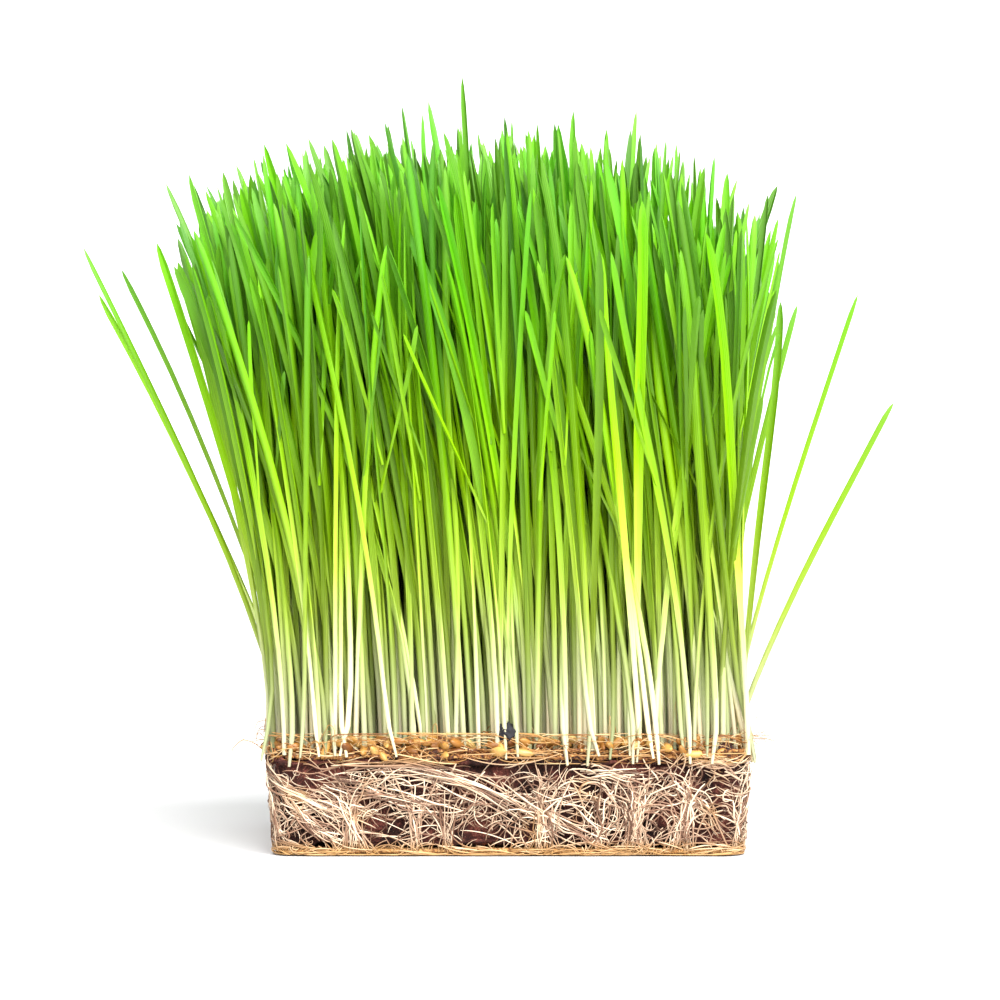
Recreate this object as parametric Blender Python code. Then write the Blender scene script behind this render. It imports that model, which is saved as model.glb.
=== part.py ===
"""A block of barley grass, lifted out of the tray that it grew in.

The block stands on the floor with its lower face at z = 0 and its centre on the Z axis. X runs along its
width and Y into its depth. Its pieces, from the floor up, are the soil block, the net of roots that wraps
it, the layer of sprouted grains on top, and the seedlings, which stand in patches in holes in that layer.
"""

import math
import random

import bmesh
import bpy
import numpy as np
from mathutils import Matrix, Vector

# The block, in metres. Width and depth are those at the rim.
BLOCK_WIDTH = 0.180
BLOCK_DEPTH = 0.130
RIM_HEIGHT = 0.0405
DRAFT = math.radians(4.3)
CORNER_RADIUS = 0.009
GAP = 0.0003

# Root net.
FELT_THICKNESS = 0.003
FELT_EDGE = 0.002
ROOT_HOLD = 0.0016
TRUNK_RADIUS = 0.0009
BRANCH_RADIUS = 0.0007
TIP_RADIUS = 0.0004
FAN_PITCH = 0.036
FAN_SPREAD = 0.015
HANGERS_PER_FAN = 0.3
GIRDLE_HEIGHT = 0.0325
GIRDLE_WAVE = 0.0007
GIRDLE_TURNS = 20
CHORD_ERROR = 0.0005

# Seed layer and its holes.
SEED_LAYER_THICKNESS = 0.0045
RIM_BAR = 0.0050
INNER_BAR = 0.0026
GRAIN_LENGTH = 0.0082
GRAIN_WIDTH = 0.0038
GRAIN_THICKNESS = 0.0034
GRAIN_PITCH = 0.0140
SMALL_GRAIN = 0.6

# Seedlings, in a grid of patches with a grid of shoots in each. Lengths run from the foot to the tip, and
# the rings of a blade are cut at these shares of its height.
TUFT_ROWS = 3
TUFT_COLUMNS = 5
SHOOT_ROWS = 4
SHOOT_COLUMNS = 5
MAT_THICKNESS = 0.0037
FOOT_DEPTH = 0.0025
SHOOT_LENGTH = 0.226
EDGE_LOSS = 0.026
STEM_WIDTH = 0.0023
BLADE_WIDTH = 0.0046
BLADE_THICKNESS = 0.0009
FLARE_X = 0.17
FLARE_Y = 0.24
WIND_LEAN = -0.011
LEAN_SPREAD = 0.013
CLEARANCE = 0.0003
LADDER_STEP = 0.004
TRIES = 90
SECOND_LEAF_SHARE = 0.11
SECOND_LEAF_WIDTH = 0.0030
SECOND_LEAF_STEM = 0.0014
SHOOT_RINGS = (0.30, 0.64, 0.93)
LEAF_RINGS = (0.45, 0.90)
TIP_SHARE = 0.12
SEED = 11

# Loose blades at the two ends of the stand, the tallest ones, and those that lean furthest to the front and
# the back: foot x and y, then tip x, y and z.
STRAYS = (
    (-0.0820, -0.0380, -0.1560, -0.0460, 0.2235),
    (-0.0800, -0.0120, -0.1565, -0.0150, 0.2085),
    (-0.0815, 0.0120, -0.1500, 0.0220, 0.2210),
    (-0.0790, -0.0500, -0.1285, -0.0600, 0.2240),
    (-0.0770, 0.0300, -0.1310, 0.0440, 0.2570),
    (0.0820, -0.0300, 0.1320, -0.0320, 0.2070),
    (0.0825, -0.0480, 0.1435, -0.0520, 0.1660),
    (0.0790, 0.0350, 0.1150, 0.0420, 0.2080),
    (-0.0080, -0.0265, -0.0161, -0.0310, 0.2886),
    (-0.0125, 0.0020, -0.0240, 0.0060, 0.2847),
    (-0.0270, -0.0420, -0.0342, -0.0520, 0.2741),
    (0.0400, -0.0130, 0.0478, -0.0170, 0.2779),
    (0.0120, 0.0460, 0.0150, 0.0890, 0.2240),
    (-0.0460, 0.0480, -0.0560, 0.1000, 0.2150),
    (0.0300, -0.0490, 0.0330, -0.1040, 0.2180),
)

SOIL_COLOUR = (0.060, 0.028, 0.018)
ROOT_COLOUR = (0.74, 0.60, 0.42)
SEED_COLOUR = (0.52, 0.31, 0.09)
GRASS_COLOUR = (0.19, 0.50, 0.05)

SOIL_INSET = 2 * TRUNK_RADIUS + GAP
SOIL_TOP = RIM_HEIGHT - SEED_LAYER_THICKNESS - GAP
LAYER_BASE = SOIL_TOP + GAP


def clear_scene():
    for obj in list(bpy.data.objects):
        bpy.data.objects.remove(obj)


def make_material(name, colour, roughness):
    material = bpy.data.materials.new(name)
    material.use_nodes = True
    shader = material.node_tree.nodes["Principled BSDF"]
    shader.inputs["Base Color"].default_value = (*colour, 1.0)
    shader.inputs["Roughness"].default_value = roughness
    shader.inputs["Metallic"].default_value = 0.0
    return material


def make_object(name, mesh, collection, material=None):
    obj = bpy.data.objects.new(name, mesh)
    collection.objects.link(obj)
    if material:
        obj.data.materials.clear()
        obj.data.materials.append(material)
    return obj


def shade_round(mesh):
    mesh.shade_smooth()
    mesh.set_sharp_from_angle(angle=math.radians(40))


def combine(base, others, operation):
    """Joins the collection's objects to the base, or cuts them from it, by one Boolean that is applied."""
    boolean = base.modifiers.new(operation.lower(), "BOOLEAN")
    boolean.operation = operation
    boolean.operand_type = "COLLECTION"
    boolean.collection = others
    boolean.solver = "EXACT"
    bpy.context.view_layer.update()
    graph = bpy.context.evaluated_depsgraph_get()
    combined = bpy.data.meshes.new_from_object(base.evaluated_get(graph))
    base.modifiers.remove(boolean)
    combined.materials.clear()
    combined.materials.append(base.data.materials[0])
    base.data = combined


def fuse(base, repeats):
    combine(base, repeats, "UNION")
    for obj in list(repeats.objects):
        bpy.data.objects.remove(obj)
    bpy.data.collections.remove(repeats)
    shade_round(base.data)


def collection_in_scene(name):
    collection = bpy.data.collections.new(name)
    bpy.context.scene.collection.children.link(collection)
    return collection


def half_size(z, inset=0.0):
    """Half the block's width and depth at height z, drawn in by the draft and by the inset."""
    drawn_in = (RIM_HEIGHT - z) * math.tan(DRAFT) + inset
    return BLOCK_WIDTH / 2 - drawn_in, BLOCK_DEPTH / 2 - drawn_in


def drafted_block(low, high, inset, lower_edge=0.0, edge_steps=1):
    """A box with drafted sides, round upright corners and, if asked, a rounded lower edge."""
    mesh = bpy.data.meshes.new("drafted block")
    bm = bmesh.new()
    bmesh.ops.create_cube(bm, size=2.0)
    upright = [e for e in bm.edges if abs(e.verts[0].co.z - e.verts[1].co.z) > 1]
    for vertex in bm.verts:
        vertex.co.x *= BLOCK_WIDTH / 2
        vertex.co.y *= BLOCK_DEPTH / 2
    bmesh.ops.bevel(bm, geom=upright, offset=CORNER_RADIUS, segments=4, profile=0.5, affect="EDGES")
    for vertex in bm.verts:
        z = low if vertex.co.z < 0 else high
        half_x, half_y = half_size(z, inset)
        vertex.co.x *= half_x / (BLOCK_WIDTH / 2)
        vertex.co.y *= half_y / (BLOCK_DEPTH / 2)
        vertex.co.z = z
    if lower_edge:
        foot = [e for e in bm.edges if all(abs(v.co.z - low) < 1e-6 for v in e.verts)]
        bmesh.ops.bevel(bm, geom=foot, offset=lower_edge, segments=edge_steps, profile=0.5, affect="EDGES")
    bm.to_mesh(mesh)
    bm.free()
    return mesh


def make_soil_block(part, material):
    mesh = drafted_block(FELT_THICKNESS + GAP, SOIL_TOP, SOIL_INSET, lower_edge=0.0015, edge_steps=2)
    soil = make_object("soil_block", mesh, part, material)
    shade_round(soil.data)


def on_side(along, z, inset):
    """The point on the block's side, inset from it, at a distance along its outline and a height.

    The distance starts at the middle of the front and runs to +X.
    """
    half_x, half_y = half_size(z, inset)
    radius = CORNER_RADIUS
    quarter = math.pi / 2 * radius
    runs = [half_x - radius, quarter, 2 * (half_y - radius), quarter]
    runs += [2 * (half_x - radius), quarter, 2 * (half_y - radius), quarter, half_x - radius]
    corners = [
        (half_x - radius, -half_y + radius, -90.0),
        (half_x - radius, half_y - radius, 0.0),
        (-half_x + radius, half_y - radius, 90.0),
        (-half_x + radius, -half_y + radius, 180.0),
    ]
    starts = [(0.0, -half_y, 1, 0), (half_x, -half_y + radius, 0, 1), (half_x - radius, half_y, -1, 0)]
    starts += [(-half_x, half_y - radius, 0, -1), (-half_x + radius, -half_y, 1, 0)]
    rest = along % sum(runs)
    for index, run in enumerate(runs):
        if rest <= run or index == len(runs) - 1:
            break
        rest -= run
    if index % 2:
        centre_x, centre_y, start = corners[index // 2]
        angle = math.radians(start) + rest / radius
        return Vector((centre_x + radius * math.cos(angle), centre_y + radius * math.sin(angle), z))
    x, y, step_x, step_y = starts[index // 2]
    return Vector((x + step_x * rest, y + step_y * rest, z))


def outline_length():
    half_x, half_y = half_size(RIM_HEIGHT)
    return 4 * (half_x + half_y - 2 * CORNER_RADIUS) + 2 * math.pi * CORNER_RADIUS


def strand(name, points, radii, collection, cyclic=False):
    """A root as a tube with filled ends through the points, made a mesh so that it can be joined."""
    curve = bpy.data.curves.new(name, "CURVE")
    curve.dimensions = "3D"
    curve.bevel_depth = 1.0
    curve.bevel_resolution = 0
    curve.use_fill_caps = True
    spline = curve.splines.new("POLY")
    spline.points.add(len(points) - 1)
    for point, place, radius in zip(spline.points, points, radii):
        point.co = (*place, 1.0)
        point.radius = radius
    spline.use_cyclic_u = cyclic
    guide = make_object(name + "_guide", curve, collection)
    bpy.context.view_layer.update()
    graph = bpy.context.evaluated_depsgraph_get()
    mesh = bpy.data.meshes.new_from_object(guide.evaluated_get(graph))
    matrix = guide.matrix_world.copy()
    bpy.data.objects.remove(guide)
    bm = bmesh.new()
    bm.from_mesh(mesh)
    bmesh.ops.remove_doubles(bm, verts=bm.verts, dist=1e-6)
    bm.to_mesh(mesh)
    bm.free()
    made = make_object(name, mesh, collection)
    made.matrix_world = matrix
    return made


def along_side(start, end):
    """Places from start up to end, each (along, height), split until no chord strays far from the side."""
    middle = ((start[0] + end[0]) / 2, (start[1] + end[1]) / 2)
    here, there, between = (on_side(*place, TRUNK_RADIUS) for place in (start, end, middle))
    if (between - (here + there) / 2).length < CHORD_ERROR:
        return [here]
    return along_side(start, middle) + along_side(middle, end)


def side_path(start, end, sag, steps):
    """Points on the block's side from one (along, height) to another, bowed sideways by sag."""
    places = []
    for step in range(steps + 1):
        t = step / steps
        along = start[0] + (end[0] - start[0]) * t + sag * math.sin(math.pi * t)
        places.append((along, start[1] + (end[1] - start[1]) * t))
    points = []
    for here, there in zip(places, places[1:]):
        points += along_side(here, there)
    return points + [on_side(*places[-1], TRUNK_RADIUS)]


def fan(along, draw, roots):
    """A root that rises from the felt and forks below the girdle."""
    fork = draw.uniform(0.007, 0.013)
    foot = on_side(along, FELT_THICKNESS - ROOT_HOLD, TRUNK_RADIUS * 1.4)
    rise = [on_side(along, height, TRUNK_RADIUS) for height in (FELT_THICKNESS + ROOT_HOLD, fork)]
    strand("trunk", [foot, *rise], [TRUNK_RADIUS] * 3, roots)
    for side in (-1, 1):
        top = GIRDLE_HEIGHT + draw.uniform(-0.0030, 0.0012)
        end = (along + side * FAN_SPREAD * draw.uniform(0.45, 1.1), top)
        path = side_path((along, fork - 0.002), end, side * draw.uniform(0.001, 0.004), 3)
        strand("branch", path, [BRANCH_RADIUS] * len(path), roots)


def hanger(along, draw, roots):
    """A root that hangs from the girdle and thins out to a loose end."""
    end = (along + draw.choice((-1, 1)) * draw.uniform(0.008, 0.018), draw.uniform(0.008, 0.016))
    path = side_path((along, GIRDLE_HEIGHT), end, draw.uniform(-0.003, 0.003), 3)
    radii = [BRANCH_RADIUS] * (len(path) - 1) + [TIP_RADIUS]
    strand("hanger", path, radii, roots)


def girdle(around, roots):
    """The root that runs all the way round below the rim, in a slow wave."""
    places = []
    for turn in range(GIRDLE_TURNS + 1):
        height = GIRDLE_HEIGHT + GIRDLE_WAVE * math.sin(4 * math.tau * turn / GIRDLE_TURNS)
        places.append((around * turn / GIRDLE_TURNS, height))
    points = []
    for here, there in zip(places, places[1:]):
        points += along_side(here, there)
    strand("girdle", points, [BRANCH_RADIUS] * len(points), roots, cyclic=True)


def make_root_net(part, material):
    """The felt under the block, with fans that rise from it and roots that hang from the girdle."""
    draw = random.Random(SEED)
    felt = make_object("root_net", drafted_block(0.0, FELT_THICKNESS, 0.0, FELT_EDGE), part, material)
    roots = collection_in_scene("roots")
    around = outline_length()
    fans = round(around / FAN_PITCH)
    for index in range(fans):
        fan(around * (index + draw.uniform(-0.25, 0.25)) / fans, draw, roots)
    hangers = round(fans * HANGERS_PER_FAN)
    for index in range(hangers):
        hanger(around * (index + 0.5 + draw.uniform(-0.3, 0.3)) / hangers, draw, roots)
    girdle(around, roots)
    fuse(felt, roots)


def patch_box(row, column, shrink=0.0):
    """Low and high x and y of one hole in the seed layer, counted from the front left."""
    inner_x = BLOCK_WIDTH - 2 * RIM_BAR
    inner_y = BLOCK_DEPTH - 2 * RIM_BAR
    width = (inner_x - (TUFT_COLUMNS - 1) * INNER_BAR) / TUFT_COLUMNS
    depth = (inner_y - (TUFT_ROWS - 1) * INNER_BAR) / TUFT_ROWS
    low_x = -inner_x / 2 + column * (width + INNER_BAR)
    low_y = -inner_y / 2 + row * (depth + INNER_BAR)
    return low_x + shrink, low_y + shrink, low_x + width - shrink, low_y + depth - shrink


def box_mesh(name, low, high):
    mesh = bpy.data.meshes.new(name)
    bm = bmesh.new()
    bmesh.ops.create_cube(bm, size=1.0)
    for vertex in bm.verts:
        for axis in range(3):
            vertex.co[axis] = low[axis] if vertex.co[axis] < 0 else high[axis]
    bm.to_mesh(mesh)
    bm.free()
    return mesh


def make_grain(name, place, heading, pitch, size, collection):
    """A barley grain: a round body drawn out to two blunt points."""
    mesh = bpy.data.meshes.new(name)
    bm = bmesh.new()
    bmesh.ops.create_icosphere(bm, subdivisions=1, radius=0.5)
    for vertex in bm.verts:
        vertex.co.x *= GRAIN_LENGTH * size
        vertex.co.y *= GRAIN_WIDTH * size
        vertex.co.z *= GRAIN_THICKNESS * size
    bm.to_mesh(mesh)
    bm.free()
    grain = make_object(name, mesh, collection)
    turned = Matrix.Rotation(heading, 4, "Z") @ Matrix.Rotation(pitch, 4, "Y")
    grain.matrix_world = Matrix.Translation(place) @ turned
    return grain


def cut_holes(layer, cutters):
    """The plain holes in which the patches of seedlings stand."""
    for row in range(TUFT_ROWS):
        for column in range(TUFT_COLUMNS):
            low_x, low_y, high_x, high_y = patch_box(row, column)
            mesh = box_mesh("hole", (low_x, low_y, LAYER_BASE - 0.002), (high_x, high_y, RIM_HEIGHT + 0.002))
            cutter = make_object(f"hole_{row + 1}_{column + 1}", mesh, cutters)
            cutter.hide_render = True
            cutter.display_type = "WIRE"
    combine(layer, cutters, "DIFFERENCE")


def grains_round_rim(draw, grains):
    """Grains end to end along the rim, smaller ones at its corners."""
    around = outline_length()
    count = round(around / GRAIN_PITCH)
    for index in range(count):
        along = around * (index + draw.uniform(-0.15, 0.15)) / count
        inset, size = draw.uniform(0.0022, 0.0027), draw.uniform(0.9, 1.05)
        place = on_side(along, RIM_HEIGHT, inset)
        if abs(place.x) > BLOCK_WIDTH / 2 - CORNER_RADIUS and abs(place.y) > BLOCK_DEPTH / 2 - CORNER_RADIUS:
            inset, size = 0.0017, SMALL_GRAIN
            place = on_side(along, RIM_HEIGHT, inset)
        ahead = on_side(along + 0.001, RIM_HEIGHT, inset) - on_side(along - 0.001, RIM_HEIGHT, inset)
        heading = math.atan2(ahead.y, ahead.x) + draw.uniform(-0.2, 0.2)
        place.z = RIM_HEIGHT + draw.uniform(-0.0004, 0.0008)
        make_grain("grain", place, heading, draw.uniform(-0.2, 0.2), size, grains)


def grains_on_bars(draw, grains):
    """Two small grains on the bar behind each patch but those of the last row."""
    for row in range(TUFT_ROWS - 1):
        for column in range(TUFT_COLUMNS):
            low_x, _, high_x, high_y = patch_box(row, column)
            for share in (0.25, 0.75):
                place = Vector((low_x + (high_x - low_x) * share, high_y + INNER_BAR / 2, RIM_HEIGHT))
                heading = draw.uniform(-0.15, 0.15)
                make_grain("grain", place, heading, draw.uniform(-0.2, 0.2), SMALL_GRAIN, grains)


def make_seed_layer(part, cutters, material):
    """The layer of grains on the soil, with a hole for each patch of seedlings and grains on its bars."""
    draw = random.Random(SEED + 1)
    layer = make_object("seed_layer", drafted_block(LAYER_BASE, RIM_HEIGHT, 0.0), part, material)
    cut_holes(layer, cutters)
    grains = collection_in_scene("grains")
    grains_round_rim(draw, grains)
    grains_on_bars(draw, grains)
    fuse(layer, grains)


class Shoot:
    """One seedling: a stem that opens into a blade, along a path that bends out from its foot to its tip."""

    def __init__(self, foot, tip, bend, width, turn, twist, stem=STEM_WIDTH, opens=0.30, rings=SHOOT_RINGS):
        self.foot = np.array(foot)
        self.tip = np.array(tip)
        self.bend = bend
        self.width = width
        self.turn = turn
        self.twist = twist
        self.stem = stem
        self.opens = opens
        self.rings = rings

    def place(self, t):
        """The centre of the blade at a share t of its height."""
        out = t**self.bend
        span = self.tip - self.foot
        along = (out, out, t)
        return np.stack([self.foot[axis] + span[axis] * along[axis] for axis in range(3)], -1)

    def breadth(self, t):
        """Width: a slim stem, a blade that opens above it, and a tip that closes at the end."""
        opening = np.clip((t - self.opens * 0.5) / (self.opens * 1.6), 0.0, 1.0)
        opening = opening * opening * (3 - 2 * opening)
        closing = np.sqrt(np.clip((1.0 - t) / TIP_SHARE, 0.0, 1.0))
        return (self.stem + (self.width - self.stem) * opening) * closing

    def share_at(self, heights):
        """The share of the blade's height at each height, over 1 above its tip and under 0 below its foot."""
        return (heights - self.foot[2]) / (self.tip[2] - self.foot[2])


class Stand:
    """The seedlings so far, with their places up a ladder of heights, so that a new one passes clear."""

    def __init__(self):
        self.heights = np.arange(LAYER_BASE + 0.003, 0.290, LADDER_STEP)
        self.places = []
        self.halves = []
        self.shoots = []

    def ladder(self, shoot):
        share = shoot.share_at(self.heights)
        inside = (share >= 0.0) & (share <= 1.0)
        bounded = np.clip(share, 0.0, 1.0)
        half = np.where(inside, np.maximum(shoot.breadth(bounded), BLADE_THICKNESS) / 2, -1.0)
        return shoot.place(bounded)[:, :2], half

    def room(self, shoot, skip=None):
        """The least clear distance between this shoot and the others, at any height that both reach."""
        if not self.shoots:
            return 1.0
        place, half = self.ladder(shoot)
        apart = np.linalg.norm(np.array(self.places) - place, axis=2) - np.array(self.halves) - half
        apart[(np.array(self.halves) < 0) | (half < 0)] = 1.0
        if skip is not None:
            apart[skip] = 1.0
        return float(apart.min())

    def add(self, shoot):
        place, half = self.ladder(shoot)
        self.places.append(place)
        self.halves.append(half)
        self.shoots.append(shoot)


def shoot_length(x, y):
    """Blades are longest in the middle of the block and shorter towards its edges."""
    edge = (abs(x) / (BLOCK_WIDTH / 2)) ** 2.4 * 0.9 + (abs(y) / (BLOCK_DEPTH / 2)) ** 2.4 * 0.5
    return SHOOT_LENGTH - EDGE_LOSS * min(edge, 1.2)


def random_shoot(foot, draw):
    """A seedling at this foot, that leans and turns by chance about the lean of the whole stand."""
    x, y, z = foot
    length = shoot_length(x, y) * draw.triangular(0.80, 1.07, 0.99)
    out_x = FLARE_X * x + WIND_LEAN + draw.gauss(0.0, LEAN_SPREAD)
    out_y = FLARE_Y * y + draw.gauss(0.0, LEAN_SPREAD * 0.8)
    rise = math.sqrt(length**2 - out_x**2 - out_y**2)
    return Shoot(
        foot,
        (x + out_x, y + out_y, z + rise),
        draw.uniform(1.15, 1.9),
        BLADE_WIDTH * draw.uniform(0.78, 1.12),
        draw.uniform(0.0, math.pi),
        draw.uniform(-0.5, 0.5),
    )


def second_leaf(parent, draw):
    """A younger, narrower leaf that parts from the stem halfway up."""
    fork = draw.uniform(0.42, 0.58)
    foot = parent.place(np.array(fork))
    reach = draw.uniform(0.012, 0.022)
    heading = parent.turn + math.pi / 2 + draw.choice((0.0, math.pi)) + draw.uniform(-0.5, 0.5)
    top = parent.place(np.array(min(1.0, fork + draw.uniform(0.30, 0.42))))
    tip = (top[0] + reach * math.cos(heading), top[1] + reach * math.sin(heading), top[2])
    width, stem = SECOND_LEAF_WIDTH, SECOND_LEAF_STEM
    return Shoot(foot, tip, 1.0, width, parent.turn, 0.2, stem=stem, opens=0.35, rings=LEAF_RINGS)


def distance_to_patch(patch, x, y):
    low_x, low_y, high_x, high_y = patch_box(*patch)
    return math.hypot((low_x + high_x) / 2 - x, (low_y + high_y) / 2 - y)


def grow_strays(stand, patches, foot_z, draw):
    for foot_x, foot_y, tip_x, tip_y, tip_z in STRAYS:
        foot, tip = (foot_x, foot_y, foot_z), (tip_x, tip_y, tip_z)
        bend = 1.25 if math.dist(foot[:2], tip[:2]) > 0.03 else 1.1
        stray = Shoot(foot, tip, bend, BLADE_WIDTH * 0.9, draw.uniform(0.0, math.pi), 0.3)
        home = min(patches, key=lambda patch: distance_to_patch(patch, foot_x, foot_y))
        patches[home].append(stray)
        stand.add(stray)


def grow_patch(stand, patch, shoots, foot_z, draw):
    """One shoot for each cell of the patch's grid, drawn again until it passes clear of the others."""
    low_x, low_y, high_x, high_y = patch_box(*patch, GAP + STEM_WIDTH / 2 + 0.0002)
    for index in range(SHOOT_ROWS * SHOOT_COLUMNS):
        for _ in range(TRIES):
            share_x = (index % SHOOT_COLUMNS + draw.uniform(0.1, 0.9)) / SHOOT_COLUMNS
            share_y = (index // SHOOT_COLUMNS + draw.uniform(0.1, 0.9)) / SHOOT_ROWS
            foot = (low_x + (high_x - low_x) * share_x, low_y + (high_y - low_y) * share_y, foot_z)
            shoot = random_shoot(foot, draw)
            if stand.room(shoot) > CLEARANCE:
                stand.add(shoot)
                shoots.append(shoot)
                break


def grow_second_leaves(stand, shoots, draw):
    for parent in list(shoots):
        if draw.random() > SECOND_LEAF_SHARE:
            continue
        for _ in range(TRIES):
            leaf = second_leaf(parent, draw)
            if stand.room(leaf, skip=stand.shoots.index(parent)) > CLEARANCE:
                stand.add(leaf)
                shoots.append(leaf)
                break


def grow_stand():
    """All seedlings by patch: {(row, column): [shoots]}, each clear of every other."""
    draw = random.Random(SEED + 2)
    stand = Stand()
    patches = {(row, column): [] for row in range(TUFT_ROWS) for column in range(TUFT_COLUMNS)}
    foot_z = LAYER_BASE + MAT_THICKNESS - FOOT_DEPTH
    grow_strays(stand, patches, foot_z, draw)
    for patch, shoots in patches.items():
        grow_patch(stand, patch, shoots, foot_z, draw)
    for shoots in patches.values():
        grow_second_leaves(stand, shoots, draw)
    return patches


def shoot_mesh(shoot):
    """A three-sided cone, cut into rings and bent along the shoot: a flat back and a keel in front."""
    mesh = bpy.data.meshes.new("shoot")
    bm = bmesh.new()
    bmesh.ops.create_cone(bm, cap_ends=True, cap_tris=True, segments=3, radius1=1.0, radius2=0.0, depth=1.0)
    bmesh.ops.translate(bm, verts=bm.verts, vec=(0.0, 0.0, 0.5))
    for cut in shoot.rings:
        geometry = bm.verts[:] + bm.edges[:] + bm.faces[:]
        bmesh.ops.bisect_plane(bm, geom=geometry, dist=1e-7, plane_co=(0, 0, cut), plane_no=(0, 0, 1))
    angles = {vertex: math.atan2(vertex.co.y, vertex.co.x) for vertex in bm.verts}
    first = min(angles.values())
    for vertex in bm.verts:
        t = vertex.co.z
        centre = Vector(shoot.place(np.array(t)))
        if t > 0.999:
            vertex.co = centre
            continue
        ahead = (Vector(shoot.place(np.array(t + 0.001))) - centre).normalized()
        turn = shoot.turn + shoot.twist * t
        across = Vector((math.cos(turn), math.sin(turn), 0.0))
        across = (across - ahead * across.dot(ahead)).normalized()
        face = ahead.cross(across)
        half_breadth = float(shoot.breadth(np.array(t))) / 2
        roundness = max(0.0, 1.0 - t / shoot.opens)
        depth = BLADE_THICKNESS + (shoot.stem * 0.9 - BLADE_THICKNESS) * roundness
        back = -face * depth / 3
        corners = (back - across * half_breadth, back + across * half_breadth, face * depth * 2 / 3)
        vertex.co = centre + corners[round((angles[vertex] - first) / (math.tau / 3)) % 3]
    bmesh.ops.triangulate(bm, faces=bm.faces[:])
    bmesh.ops.recalc_face_normals(bm, faces=bm.faces[:])
    bm.to_mesh(mesh)
    bm.free()
    return mesh


def make_tufts(part, material):
    """One node for each patch: a mat of young roots that fills its hole, with the seedlings rooted in it."""
    for (row, column), shoots in grow_stand().items():
        low_x, low_y, high_x, high_y = patch_box(row, column, GAP)
        mat = box_mesh("mat", (low_x, low_y, LAYER_BASE), (high_x, high_y, LAYER_BASE + MAT_THICKNESS))
        tuft = make_object(f"tuft_{row + 1}_{column + 1}", mat, part, material)
        blades = collection_in_scene("blades")
        for index, shoot in enumerate(shoots):
            make_object(f"shoot_{index}", shoot_mesh(shoot), blades)
        fuse(tuft, blades)


def main():
    clear_scene()
    part = collection_in_scene("barley grass block")
    cutters = collection_in_scene("cutters")
    make_soil_block(part, make_material("soil", SOIL_COLOUR, 0.95))
    make_root_net(part, make_material("root", ROOT_COLOUR, 0.75))
    make_seed_layer(part, cutters, make_material("grain", SEED_COLOUR, 0.6))
    make_tufts(part, make_material("grass", GRASS_COLOUR, 0.5))


main()
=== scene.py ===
"""The looks of a block of barley grass, lifted out of the tray that it grew in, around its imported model."""

import math
import random

import bmesh
import bpy
import numpy as np
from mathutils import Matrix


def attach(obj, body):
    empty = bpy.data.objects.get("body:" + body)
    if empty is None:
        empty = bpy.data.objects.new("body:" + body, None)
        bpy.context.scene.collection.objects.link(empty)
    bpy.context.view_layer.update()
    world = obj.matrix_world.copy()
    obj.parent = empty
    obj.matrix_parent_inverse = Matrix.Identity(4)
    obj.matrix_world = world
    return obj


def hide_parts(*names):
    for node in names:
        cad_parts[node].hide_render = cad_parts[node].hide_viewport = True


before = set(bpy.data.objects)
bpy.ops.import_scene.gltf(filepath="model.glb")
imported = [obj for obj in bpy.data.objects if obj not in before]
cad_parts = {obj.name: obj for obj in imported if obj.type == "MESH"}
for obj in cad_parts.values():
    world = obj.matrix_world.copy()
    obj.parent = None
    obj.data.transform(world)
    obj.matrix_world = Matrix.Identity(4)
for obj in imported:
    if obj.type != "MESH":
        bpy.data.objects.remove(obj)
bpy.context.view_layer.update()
bpy.ops.object.select_all(action="DESELECT")


# Growing medium: peat and coir, dark red-brown and damp, pressed to the drafted shape of the tray.
# It is held together by the roots alone, so its face is crumbs, grit and hollows.
BLOCK_WIDTH = 0.180
BLOCK_DEPTH = 0.130
RIM_HEIGHT = 0.0405
LAYER_BASE = 0.0360
DRAFT = math.radians(4.3)
CORNER_RADIUS = 0.009
SOIL_INSET = 0.0010
SOIL_BASE = 0.0026
SOIL_LAP = 0.0008
SOIL_EDGE = 0.0012
SOIL_VOXEL = 0.0013
CORNER_STEPS = 6
EDGE_STEPS = 3
# The relief of its face: each pattern, with the size of its grains and its depth.
SOIL_RELIEF = (("VORONOI", 0.0055, 0.0026), ("CLOUDS", 0.0120, 0.0018), ("CLOUDS", 0.0026, 0.0014))


def linear(hex_colour):
    """An sRGB hex colour as linear RGBA."""
    parts = [int(hex_colour[i : i + 2], 16) / 255 for i in (1, 3, 5)]
    return (*(c / 12.92 if c <= 0.04045 else ((c + 0.055) / 1.055) ** 2.4 for c in parts), 1.0)


def add_node(tree, kind, inputs=None, stops=None, **settings):
    """Adds a node. A socket given as an input is linked, and stops are a colour ramp's (place, hex) pairs."""
    node = tree.nodes.new(kind)
    for name, value in settings.items():
        setattr(node, name, value)
    for name, value in (inputs or {}).items():
        if isinstance(value, bpy.types.NodeSocket):
            tree.links.new(value, node.inputs[name])
        else:
            node.inputs[name].default_value = value
    if stops:
        ramp = node.color_ramp
        while len(ramp.elements) < len(stops):
            ramp.elements.new(1.0)
        for element, (place, colour) in zip(ramp.elements, stops):
            element.position = place
            element.color = linear(colour)
    return node


def new_material(name, roughness):
    """A material with its node tree and its shader."""
    material = bpy.data.materials.new(name)
    material.use_nodes = True
    shader = material.node_tree.nodes["Principled BSDF"]
    shader.inputs["Roughness"].default_value = roughness
    return material, material.node_tree, shader


def coat(tree, shader, colour, height=None, strength=0.0, depth=0.0):
    """Gives a shader its colour and, where a height is given, the relief of its grain."""
    tree.links.new(colour, shader.inputs["Base Color"])
    if height is not None:
        bump = add_node(tree, "ShaderNodeBump", {"Height": height, "Strength": strength, "Distance": depth})
        tree.links.new(bump.outputs["Normal"], shader.inputs["Normal"])


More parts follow.
